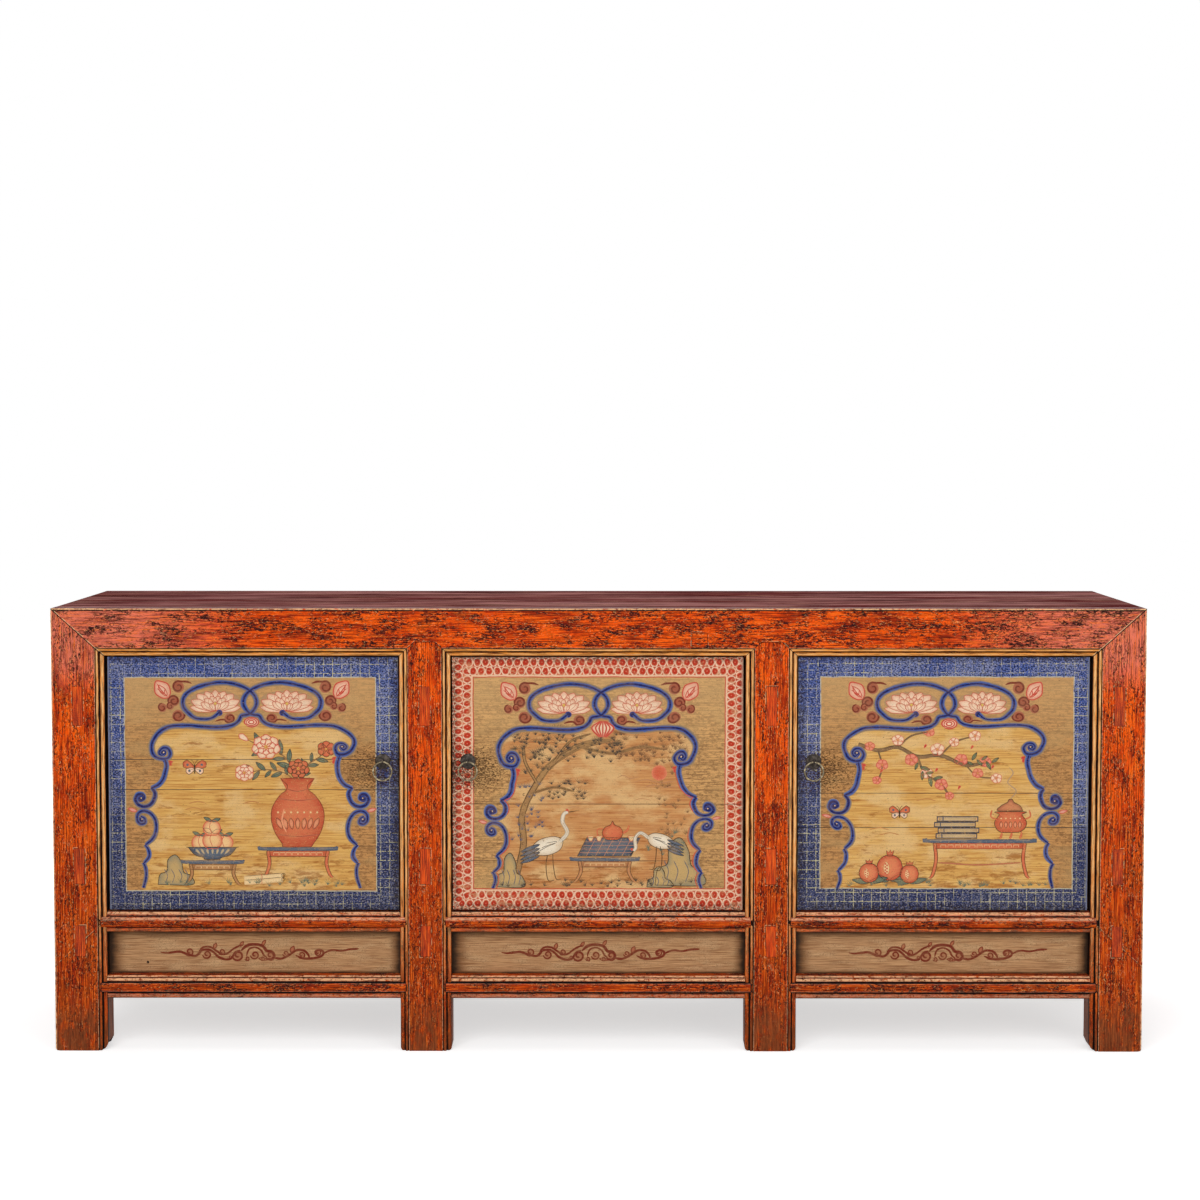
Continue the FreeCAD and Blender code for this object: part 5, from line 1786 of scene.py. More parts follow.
@dataclass(frozen=True)
class Painting:
    """A door's ornament: the scalloped blue frame, loops with lotus flowers, curls, buds and the picture.

    Its paths are places beside the door's axis and above the floor, for the left hand of the ornament.
    """

    door: "Door"
    brush: Brush
    loop: tuple[Place, ...] = (
        (-61.5, 661), (-74, 651), (-87, 648), (-106, 650), (-120, 660), (-130, 672), (-131, 687), (-122, 700),
        (-104, 710), (-80, 717), (-58, 720), (-35, 718), (-15, 712), (2, 702), (11, 690), (12, 676), (3, 662),
        (-6, 657.5), (-17, 655), (-22, 645), (-30, 637), (-40, 633), (-51, 631), (-68, 630.3), (-96, 632),
        (-124, 634), (-155, 632), (-176, 622), (-188.8, 609), (-192, 595), (-186.4, 579.6), (-173.7, 571.9),
        (-159.4, 572), (-154.5, 582), (-160, 592), (-170, 593), (-176.5, 585), (-171, 579), (-165.5, 583),
    )
    side: tuple[Place, ...] = ((-163, 568.5), (-159, 556), (-160, 541), (-164, 528), (-173, 517), (-187, 510.5))
    hook: tuple[Place, ...] = (
        (-187, 511.5), (-181, 504), (-180, 496), (-185, 484), (-193, 477), (-203, 475), (-213, 479), (-218, 489),
        (-213, 498), (-204, 498), (-201, 491), (-207, 487),
    )
    foot: tuple[Place, ...] = (
        (-210, 456), (-203, 452), (-201.5, 444), (-209, 441), (-216, 447), (-216, 458), (-209, 465.5), (-199, 466),
        (-188.6, 460), (-181, 446), (-180, 427), (-186, 412), (-199, 399.5),
    )
    low: tuple[Place, ...] = ((-201, 399.5), (-195.4, 390.8), (-196, 377), (-207, 364.5))
    end: tuple[Place, ...] = ((-209, 365), (-204.5, 354), (-204, 337), (-209.3, 315.5))
    knobs: tuple = ((-163, 568.5, 5.6), (-169, 583.5, 7.4), (-208, 490, 6.2), (-209, 449, 6.2), (-60, 661, 6.0))

    def build(self) -> None:
        """The ornament and the picture, each one piece on the door."""
        word, body, slot = self.door.bay.word, self.door.body, self.door.slot
        self.brush.paint()
        picture = Brushwork(f"{word}_picture_paint", colour(216, 170, 104), 0.61, 0.16).build()
        self.brush.piece(f"door_{word}_picture", picture, body, slot)
        for hand in (1.0, -1.0):
            self._take(hand)
            self.brush.lotus((-68, 684), 100, 44)
            self._growth()
        self._scrolls()
        self._take(1.0)
        if self.door.bay is Bay.CENTRE:
            self._lantern()
        else:
            self._swirl((2, 641.4))
        frame = Brushwork(f"{word}_frame_paint", colour(166, 134, 100), 0.63, 0.16).build()
        self.brush.piece(f"door_{word}_scrollwork", frame, body, slot)

    def _take(self, hand: float) -> None:
        """Turns the brush to one hand of the ornament, with that hand's own drift."""
        self.brush.hand, self.brush.drift = hand, DRIFTS[self.door.bay, hand]

    def _scrolls(self) -> None:
        """The blue frame, coat over coat, its knobs, and on the centre door a red line beside it."""
        brush = self.brush
        lines = (
            (self.end, 7.4, (0.9, 0.9)), (self.low, 8.0, (0.7, 0.7)), (self.foot, 8.8, (0.6, 0.7)),
            (self.hook, 9.4, (0.7, 0.6)), (self.side, 9.4, (0.8, 0.7)), (self.loop, 10.0, (0.75, 0.6)),
        )
        for (ink, share), hand in itertools.product(((DUST, 1.3), (BLUE, 1.0), (CORE, 0.5)), (1.0, -1.0)):
            self._take(hand)
            for path, width, taper in lines:
                brush.stroke(path, width * share, ink, taper)
        for hand in (1.0, -1.0):
            self._take(hand)
            for x, z, radius in self.knobs:
                brush.dot((x, z), radius, KNOB, 0.94)
                if z < 640:
                    brush.dot((x + 1.4, z + 1.6), radius * 0.22, PALE)
        if self.door.bay is Bay.CENTRE:
            for hand in (1.0, -1.0):
                self._take(hand)
                for path in (self.side, self.hook[:4], self.foot[9:], self.low, self.end):
                    brush.stroke(shifted(path, 6.6), 1.8, RED, (0.4, 0.4))

    def _swirl(self, centre: Place) -> None:
        """The pink curl under the middle of an outer door's frame: three flattened spirals.

        Args:
            centre: Its middle.
        """
        x, z = centre
        for radius, turns in ((15.0, 1.0), (10.5, 1.0), (5.5, 1.3)):
            ring = spiral(centre, radius, 100 + radius * 9, turns, 0.12)
            path = [(x + (a - x) * 1.0, z + (b - z) * 0.72) for a, b in ring]
            if radius > 12:
                self.brush.patch(path[::2], PETAL)
            self.brush.stroke(path, 2.6, RED, (0.5, 0.5))

    def _growth(self) -> None:
        """Brown curls, the leaf bud and the red buds of one hand."""
        brush = self.brush
        for curl in (
            ((-140, 711), 12.0, 60, 1.2, (-114, 718)), ((-171, 671), 9.0, 90, 1.0), ((-156, 674), 8.0, 20, 1.2),
            ((-149, 684), 11.5, 200, -1.4), ((-140.5, 655), 12.5, 20, -1.3, (-136, 673)),
            ((-40, 650), 11.0, 200, 1.3, (-68, 643)),
        ):
            brush.curl(*curl)
        brush.petal((-159, 690), (-183, 722), 30, Ink.of(222, 140, 112, 238, 190, 160), RED, 0.5, 2.4)
        brush.petal((-162, 694), (-178, 714), 11, Ink.of(226, 150, 122, 240, 196, 168), RED, 0.5, 1.6)
        brush.stroke([(-161, 692), (-172, 704), (-181, 717)], 2.0, RED)
        for vein in ((-176, 702), (-166, 707), (-181, 708)):
            brush.stroke([(-167, 697), vein], 1.8, RED)
        bud = Ink.of(214, 96, 80, 200, 60, 48)
        brush.petal((-160, 565), (-149, 556), 7, bud, None)
        brush.petal((-160, 567), (-147, 563), 5, bud, None)
        brush.petal((-216, 466), (-233, 471), 7, Ink.of(214, 96, 80, 226, 160, 140), RED, 0.5)

    def _lantern(self) -> None:
        """The ribbed red bud that hangs under the middle of the centre door's frame."""
        outline = [(-18, 634), (-10, 645), (3, 648), (16, 645), (24, 634), (16, 623), (3, 619), (-10, 623)]
        self.brush.patch(outline, PETAL)
        for lean in (-20, -13, -6.5, 0, 6.5, 13, 20):
            rib = [(3 + lean * 0.25, 648), (3 + lean, 634), (3 + lean * 0.3, 619)]
            self.brush.stroke(rib, 3.0, RED, (0.5, 0.5))


@dataclass(frozen=True)
class ApronScroll:
    """The brown-red scroll in the middle of each apron: waves, an arch and small spirals."""

    drop: float = -9.5
    ink: Ink = Ink.of(146, 74, 48, 108, 30, 18)
    middles: tuple[float, ...] = (-668.0, -6.0, 668.0)
    strokes: tuple = (
        (3.0, (-182, 196), (-170, 194.5), (-157, 196), (-144, 197), (-130, 192), (-115, 189), (-107, 194), (-102, 200),
         (-88, 201), (-78, 195), (-70, 187), (-57, 182), (-45, 184), (-37, 196), (-27, 200)),
        (2.4, (-108, 198), (-99, 206), (-85, 206), (-74, 199), (-62, 192), (-52, 194), (-40, 203), (-24, 211)),
        (3.6, (-26, 199), (-14, 209), (1, 211.5), (16, 208.5), (24, 199), (34, 197), (38.5, 189), (33, 182), (22, 184)),
        (2.2, (-15, 188), (-13, 197), (-8, 203.5), (3, 205.5), (13, 200), (18, 191), (24, 186)),
        (3.0, (36, 186), (51, 183.5), (63, 188), (74, 195), (84, 200.5), (97, 199), (105, 191), (107, 184)),
        (
            2.8, (80, 190), (96, 184), (119, 185), (132, 190), (134, 197), (126, 201), (118.5, 197), (121, 193),
            (125, 195),
        ),
        (2.6, (133, 193), (145, 199), (155, 200.5), (169, 199), (186, 202), (203, 203)),
    )
    curls: tuple = (
        (-32, 190, 11.5), (1, 191, 9.0), (31, 190, 9.5), (-92, 192, 9.0), (92, 191, 8.0), (-126, 197, 9.0),
        (-63, 197, 7.0), (61, 194, 6.5), (-47, 186, 5.0), (16, 184, 5.0), (-14, 184, 5.0), (124, 196, 7.0),
    )
    buds: tuple = (
        (-78, 203, -74, 214, 7), (15, 209, 22, 220, 6), (-28, 207, -21, 217, 6), (71, 196, 77, 208, 8),
        (-15, 186, -11, 179, 6), (8, 184, 26, 181, 5),
    )

    def build(self) -> None:
        """The same scroll on each of the three aprons."""
        paint = Brushwork("apron_scroll_paint", colour(176, 134, 94), 0.63, 0.2).build()
        bud_ink = Ink(self.ink.middle, colour(176, 104, 72))
        for bay, middle in zip(Bay, self.middles):
            brush = Brush(middle, FRONT + APRON_DEPTH, APRON_WORN, 71 + bay.value)
            for x, z, tip_x, tip_z, breadth in self.buds:
                ends = shifted([(x, z), (tip_x, tip_z)], 0, self.drop)
                brush.petal(*ends, breadth, bud_ink, self.ink, 0.5, 1.5)
            for x, z, radius in self.curls:
                centre = (x, z + self.drop)
                brush.dot(centre, radius * 0.8, Ink.of(178, 128, 90, 166, 108, 74), 0.94)
                brush.stroke(spiral(centre, radius, 190, 1.3), radius * 0.36, self.ink, (0.6, 0.8))
            for width, *path in self.strokes:
                brush.stroke(shifted(path, 0, self.drop), width * 1.7, self.ink, (0.3, 0.4))
            if bay is Bay.LEFT:
                brush.dot((-207, 167), 2.6, HOLE, 0.94)
            brush.piece(f"apron_{bay.word}_scroll", paint, "carcass", "apron_paint")


PICTURE_EDGE = np.array(
    [
        (310, 208), (337, 204), (354, 204), (364, 209), (377, 197), (391, 195), (399, 202), (410, 189), (427, 180),
        (444, 180), (460, 189), (466, 200), (476, 200), (485, 187), (497, 180), (511, 186), (523, 166), (540, 160),
        (556, 159), (570, 165), (578, 185), (595, 192), (609, 189), (622, 177), (630, 158), (632.5, 50), (637, 30),
        (645, 24), (655, 17), (660, 3),
    ],
    dtype=float,
)


def picture_mask(bay: Bay, x: np.ndarray, z: np.ndarray) -> np.ndarray:
    """1 on the picture ground, 0 outside, from the half-width of its scalloped frame at each height.

    Args:
        bay: Which door.
        x: Places beside the door's axis.
        z: Their heights.

    Returns:
        One value a place, fading over 4 mm.
    """
    edge = {}
    for hand in (1.0, -1.0):
        moved = drifted(PICTURE_EDGE[:, ::-1], DRIFTS[bay, hand])
        edge[hand] = np.interp(z, moved[:, 1], moved[:, 0], left=0.0, right=0.0)
    half = np.where(z < 314, 0.0, np.where(x < 0, edge[1.0], edge[-1.0]))
    return np.clip((half - np.abs(x)) / 4.0 + 0.5, 0, 1)


def turned(centre: float, halves: list[Place]) -> list[Place]:
    """A symmetric outline from half-widths and heights, as for a jar or bowl."""
    return [(centre + half, z) for half, z in halves] + [(centre - half, z) for half, z in reversed(halves)]


class Picture(Brush):
    """The things that more than one of the doors' pictures shows."""

    def tufts(self, area: tuple[float, ...], count: int, length: float, ink: Ink, seed: int) -> None:
        """Small fans of needles or grass, five strokes each at even angles, at random places.

        Args:
            area: Left, right, bottom and top of where they grow.
            count: How many are tried; those near the frame are left out.
            length: About how long the strokes are.
            ink: Their colours.
            seed: Picks the places.
        """
        random = np.random.default_rng(seed)
        for _ in range(count):
            x, z = random.uniform(*area[:2]), random.uniform(*area[2:])
            if abs(x) > np.interp(z, PICTURE_EDGE[:, 0], PICTURE_EDGE[:, 1]) - 12:
                continue
            lean, spread = random.uniform(60, 120), random.uniform(18, 30)
            for step in range(-2, 3):
                angle = math.radians(lean + step * spread)
                reach = length * random.uniform(0.7, 1.1)
                tip = (x + reach * math.cos(angle), z + reach * math.sin(angle))
                self.stroke([(x, z), tip], 1.3, ink, (0.9, 0.2), False)

    def rock(self, place: Place, width: float, tall: float) -> None:
        """A garden rock: a craggy patch with folds drawn in it, in shares of its width and height.

        Args:
            place: The middle of its foot.
            width: Its width.
            tall: Its height.
        """

        def at(*shares: Place) -> list[Place]:
            """Places from shares of the rock's width and height."""
            return [(place[0] + width * across, place[1] + tall * up) for across, up in shares]

        outline = at(
            (-0.5, 0), (-0.44, 0.34), (-0.24, 0.46), (-0.2, 0.84), (0.02, 1), (0.2, 0.74), (0.26, 0.42), (0.46, 0.3),
            (0.5, 0),
        )
        self.patch(outline, Ink.of(132, 128, 106, 196, 162, 106), line=LINE, width=1.5)
        for lean in (-0.28, -0.08, 0.14, 0.32):
            self.stroke(at((lean, 0.06), (lean + 0.06, 0.3), (lean - 0.03, 0.52)), 1.4, SLATE, (0.4, 0.2))

    def table(self, left: float, right: float, floor: float, top: float, ink: Ink = SALMON) -> None:
        """A low table: a plank with rolled ends, a pierced apron and curved legs.

        Args:
            left: Its left end.
            right: Its right end.
            floor: Where it stands.
            top: The height of its plank.
            ink: The colours of its legs and apron.
        """
        for side, inward in ((left, 1), (right, -1)):
            steps = ((10, top - 4), (13, (top + floor) / 2), (7, floor + 7), (1, floor))
            leg = [(side + inward * across, z) for across, z in steps]
            self.stroke(leg, 6.0, ink, (0.9, 0.6))
            for edge in (3.2, -3.2):
                self.stroke(shifted(leg, inward * edge), 1.0, LINE, (0.6, 0.4))
        apron = [(left + 8, top - 4), (right - 8, top - 4), (right - 12, top - 15), (left + 12, top - 15)]
        self.patch(apron, ink, False, LINE, 1.0)
        count = max(3, round((right - left) / 18))
        for index in range(count):
            x = left + 20 + (right - left - 40) * (index + 0.5) / count
            arch = [(x - 5, top - 12), (x - 5, top - 7.5), (x + 5, top - 7.5), (x + 5, top - 12)]
            self.stroke(arch, 1.1, PALE, (0.9, 0.9), False)
        plank = [(left - 4, top + 3), (left + 2, top), (right - 2, top), (right + 4, top + 3)]
        self.stroke(plank, 7.5, SLATE, (0.8, 0.8))
        self.stroke([(left, top + 1.5), (right, top + 1.5)], 1.1, PALE, (0.4, 0.4), False)

    def butterfly(self, place: Place, size: float) -> None:
        """A butterfly seen from above, with spotted wings.

        Args:
            place: Its middle.
            size: The length of a wing.
        """
        x, z = place
        for (lean, reach, breadth, ink), side in itertools.product(
            ((28, 1.0, 0.62, SALMON), (-24, 0.72, 0.5, PETAL)), (1, -1)
        ):
            angle = math.radians(90 - side * (90 - lean))
            tip = (x + size * reach * math.cos(angle), z + size * reach * math.sin(angle))
            self.petal(place, tip, size * breadth, ink, LINE, 0.78, 0.9)
            self.dot((x + 0.62 * (tip[0] - x), z + 0.62 * (tip[1] - z)), size * 0.1, SLATE)
        self.stroke([(x, z + size * 0.34), (x, z - size * 0.42)], size * 0.13, LINE)
        for side in (1, -1):
            bends = ((0, 0.3), (0.16, 0.6), (0.3, 0.64))
            self.stroke([(x + side * size * across, z + size * up) for across, up in bends], 0.8, LINE)

    def haze(self, places: tuple[Place, ...], middle: float, end: Place, width: float, ink: Ink = HAZE) -> None:
        """Faint curved strokes, as of haze or far ground.

        Args:
            places: Where they start.
            middle: How far on their crest is, 4 mm up.
            end: Where they end, from their start.
            width: Their width.
            ink: Their colours.
        """
        for x, z in places:
            self.stroke([(x, z), (x + middle, z + 4), (x + end[0], z + end[1])], width, ink, (0.2, 0.2))


class VasePicture(Picture):
    """Left door: a vase of flowers on a stand, a dish of fruit, a rock, two rolls and a butterfly."""

    def paint(self) -> None:
        """The whole picture."""
        self.table(22, 158, 336, 392)
        self.rock((-148, 322), 66, 58)
        self._flowers()
        self._vase(90)
        self.table(-128, -22, 322, 366, Ink.of(140, 90, 56, 186, 132, 84))
        self._dish()
        self._rolls()
        self.butterfly((-108, 548), 25)
        self.haze(((-120, 480), (-128, 468), (-16, 480)), 18, (34, 0), 1.6)
        self.tufts((-190, 190, 318, 328), 26, 11, LEAF, 4)

    def _flowers(self) -> None:
        """The stems, leaves and blossoms over the vase."""
        for width, *stem in (
            (2.6, (88, 522), (80, 552), (56, 578), (24, 590), (-6, 604)),
            (2.2, (92, 522), (106, 552), (132, 570), (150, 590)),
            (2.0, (86, 524), (64, 540), (30, 546), (-4, 540)),
        ):
            self.stroke(stem, width, BARK, (0.9, 0.3))
        self.leaves([(88, 528), (76, 556), (50, 580), (18, 592)], 9, 30)
        self.leaves([(94, 528), (112, 556), (136, 574)], 6, 24)
        self.leaves([(80, 530), (50, 544), (4, 542)], 7, 24)
        self.blossom((30, 590), 28, 7, rows=2)
        self.blossom((146, 586), 18, 6, SALMON, LINE)
        self.blossom((-12, 540), 19, 6, rows=2)
        self.blossom((92, 548), 22, 7, SALMON, LINE, rows=2)
        self.petal((-4, 602), (-22, 614), 11, PETAL)

    def _vase(self, x: float) -> None:
        """The vase with its bands, petals and highlight.

        Args:
            x: Its middle.
        """
        halves = [
            (26, 396), (30, 402), (44, 424), (51, 450), (48, 474), (34, 496), (22, 506), (20, 516), (30, 526),
            (27, 529),
        ]
        self.patch(turned(x, halves), SALMON, line=Ink.of(160, 70, 48, 120, 44, 34), width=1.6)
        for z, half in ((420, 40), (490, 38), (508, 20)):
            band = [(x - half, z), (x, z - 4), (x + half, z)]
            self.stroke(band, 2.4, Ink.of(226, 150, 110, 160, 50, 38), (0.7, 0.7))
        for step in range(-3, 4):
            foot = x + step * 11 - 0.35 * step * abs(step)
            self.petal((foot, 430), (x + step * 13.6, 452), 9, ROSE, LINE, 0.6, 0.8)
            self.dot((x + step * 12.6, 463), 2.0, PALE)
        self.stroke([(64, 470), (60, 446), (68, 424)], 4.0, Ink.of(214, 112, 76, 236, 160, 120), (0.2, 0.2))

    def _dish(self) -> None:
        """Four round fruits with leaves in a footed dish."""
        for x, z, radius in ((-98, 404, 17), (-52, 404, 17), (-75, 408, 19), (-76, 432, 17)):
            fruit = rounded((x, z), (radius, radius * 0.95), range(-60, 250, 34))
            fruit.append((x - radius * 0.5, z - radius * 0.85))
            self.patch(fruit, Ink.of(216, 104, 76, 242, 198, 140), line=RED, width=1.1)
            fold = [(x, z + radius * 0.9), (x - radius * 0.25, z + radius * 0.2), (x, z - radius * 0.6)]
            self.stroke(fold, 1.2, RED, (0.8, 0.2))
            for across, up, breadth in ((1.0, 1.1, 0.42), (-0.9, 1.25, 0.4)):
                tip = (x + radius * across, z + radius * up)
                self.petal((x, z + radius * 0.8), tip, radius * breadth, LEAF, LINE, 0.5, 0.8)
        self.patch(turned(-75, [(14, 371), (18, 375), (34, 380), (46, 394), (43, 395)]), SLATE, line=LINE, width=1.2)
        for x in range(-108, -41, 11):
            self.petal((x * 0.7 - 22.5, 381), (x, 392), 5, Ink.of(120, 130, 130, 198, 170, 130), None)

    def _rolls(self) -> None:
        """Two tied paper rolls on the ground."""
        for z in (334, 326):
            self.stroke([(-14, z), (22, z + 3), (60, z + 6)], 10.5, PALE, (0.95, 0.95))
            self.stroke([(-12, z + 4.6), (24, z + 7.6), (58, z + 10.6)], 0.9, LINE)
            self.stroke(spiral((61, z + 6), 4.6, 0, 1.6), 1.1, LINE)
            self.stroke([(20, z - 2), (20, z + 8)], 2.2, RED, (0.9, 0.9), False)


@dataclass(frozen=True)
class Crane:
    """A standing crane: slim legs, a folded body with dark tail feathers and an arched neck."""

    foot: Place
    hand: int
    size: float
    neck: tuple[Place, ...]
    beak: tuple[Place, ...]
    crown: Place

    def _at(self, *shares: Place) -> list[Place]:
        """Places from shares of the bird's size."""
        x, z = self.foot
        return [(x + self.hand * across * self.size, z + up * self.size) for across, up in shares]

    def paint(self, brush: Brush) -> None:
        """The whole bird.

        Args:
            brush: What paints it.
        """
        for leg in (
            ((-0.02, 0.42), (-0.05, 0.22), (-0.02, 0.0), (0.07, -0.01)),
            ((0.05, 0.42), (0.06, 0.22), (0.10, 0.02), (0.18, 0.01)),
        ):
            brush.stroke(self._at(*leg), 1.4, LINE, (0.9, 0.6))
        body = ((-0.30, 0.46), (-0.16, 0.60), (0.06, 0.66), (0.20, 0.60), (0.16, 0.46), (0.0, 0.38), (-0.18, 0.38))
        brush.patch(self._at(*body), Ink.of(214, 190, 158, 242, 228, 204), line=LINE, width=1.0)
        for lean in (0.40, 0.46, 0.52, 0.35):
            brush.petal(*self._at((-0.14, lean + 0.02), (-0.44, lean - 0.10)), self.size * 0.06, SLATE, LINE, 0.5, 0.7)
        for lean in (0.0, 0.07, 0.14):
            feather = self._at((-0.18 + lean, 0.42 + lean), (-0.04 + lean, 0.5 + lean * 0.6), (0.10, 0.56))
            brush.stroke(feather, 0.9, LINE, (0.6, 0.2))
        neck = self._at(*self.neck)
        brush.stroke(neck, self.size * 0.062, Ink.of(150, 134, 112, 236, 222, 198), (0.9, 0.8))
        brush.stroke(neck[:3], 1.6, SLATE, (0.3, 0.3))
        brush.stroke(self._at(*self.beak), 2.0, LINE, (1.0, 0.1), False)
        brush.dot(*self._at(self.crown), self.size * 0.026, RED)


class CranePicture(Picture):
    """Centre door: a leaning tree over garden rocks, and two cranes beside a low table."""

    birds = (
        Crane(
            (-100, 332), 1, 128, ((0.16, 0.58), (0.27, 0.72), (0.20, 0.88), (0.22, 1.0), (0.28, 1.03)),
            ((0.30, 1.03), (0.46, 1.06)), (0.27, 1.055),
        ),
        Crane(
            (112, 352), -1, 108, ((0.17, 0.56), (0.33, 0.66), (0.43, 0.56), (0.42, 0.40), (0.46, 0.34)),
            ((0.47, 0.33), (0.56, 0.20)), (0.485, 0.365),
        ),
    )

    def paint(self) -> None:
        """The whole picture."""
        self._tree()
        self.dot((112, 540), 15, Ink.of(222, 130, 96, 206, 86, 62), 0.94)
        for z, x, width in ((522, 62, 84), (512, 84, 60), (530, 30, 44)):
            cloud = [(x, z), (x + width * 0.3, z + 5), (x + width * 0.6, z - 1), (x + width, z + 3)]
            self.stroke(cloud, 1.5, Ink.of(204, 150, 104, 180, 120, 84), (0.2, 0.2))
        self.rock((150, 322), 92, 92)
        self.rock((-176, 318), 52, 66)
        self.rock((112, 318), 48, 40)
        self.tufts((90, 170, 380, 430), 12, 12, LEAF, 17)
        self.table(-52, 66, 328, 372, Ink.of(150, 92, 60, 196, 134, 88))
        self._board()
        self._pots()
        for bird in self.birds:
            bird.paint(self)
        self.haze(((-70, 470), (-48, 480), (62, 486)), 16, (34, 1), 1.3, Ink.of(206, 156, 110, 190, 128, 84))
        self.tufts((-196, 196, 318, 330), 34, 10, NEEDLE, 18)

    def _tree(self) -> None:
        """Its trunk and branches, the knots of its bark, and its needles."""
        for width, *path in (
            (13, (-166, 330), (-150, 400), (-152, 460), (-124, 520), (-92, 560), (-40, 592), (20, 604)),
            (6, (-124, 520), (-146, 560), (-150, 592)), (5, (-92, 560), (-60, 600), (-20, 616)),
            (6, (-40, 590), (20, 578), (74, 590), (120, 586)), (5, (-134, 500), (-90, 512), (-52, 504)),
        ):
            self.stroke(path, width, Ink.of(120, 88, 58, 164, 122, 78), (1.0, 0.3))
            for edge in (0.42, -0.42):
                self.stroke(shifted(path, width * edge), 1.1, LINE, (0.5, 0.2))
        for index in range(9):
            x, z = -157 + 1.2 * index, 345 + 19 * index
            self.stroke(spiral((x + (3 if index % 2 else -1), z), 3.4, 60, 0.8), 0.9, LINE)
        self.tufts((-178, -96, 536, 622), 62, 11, NEEDLE, 11)
        self.tufts((-110, 40, 560, 628), 92, 11, NEEDLE, 12)
        self.tufts((30, 168, 560, 618), 70, 11, Ink.of(140, 98, 66, 112, 74, 52), 13)
        self.tufts((-100, -30, 488, 526), 26, 10, NEEDLE, 14)
        self.tufts((-172, -110, 380, 520), 34, 9, Ink.of(96, 100, 110, 70, 80, 104), 15)
        self.tufts((100, 168, 410, 560), 40, 9, Ink.of(150, 108, 70, 128, 88, 60), 16)

    def _board(self) -> None:
        """A ruled cloth on the table, leaning away: 5 lines across and 4 along."""
        self.patch([(-46, 378), (58, 378), (76, 414), (-28, 414)], SLATE, False, LINE, 1.2)
        for share in (0.17, 0.34, 0.5, 0.66, 0.83):
            line = [(-46 + 104 * share, 379), (-28 + 104 * share, 413)]
            self.stroke(line, 1.1, COPPER, (0.9, 0.9), False)
        for z in (385, 392, 399, 406):
            shift = (z - 378) * 0.5
            self.stroke([(-45 + shift, z), (57 + shift, z)], 1.0, COPPER, (0.9, 0.9), False)

    def _pots(self) -> None:
        """A lidded pot with a spout and a handle, and three small cups."""
        self.stroke([(40, 422), (50, 428), (54, 438)], 4.0, SALMON, (1.0, 0.6))
        self.stroke([(4, 432), (-7, 430), (-6, 418), (4, 416)], 2.2, SALMON, (0.9, 0.9))
        pot = turned(22, [(9, 410), (16, 414), (20, 424), (15, 434), (6, 438), (3, 441), (0.5, 446)])
        self.patch(pot, SALMON, line=LINE, width=1.0)
        for x in (-20, -4, 58):
            self.patch(turned(x, [(2.5, 408), (5, 414), (6, 417)]), PALE, line=RED, width=0.9)


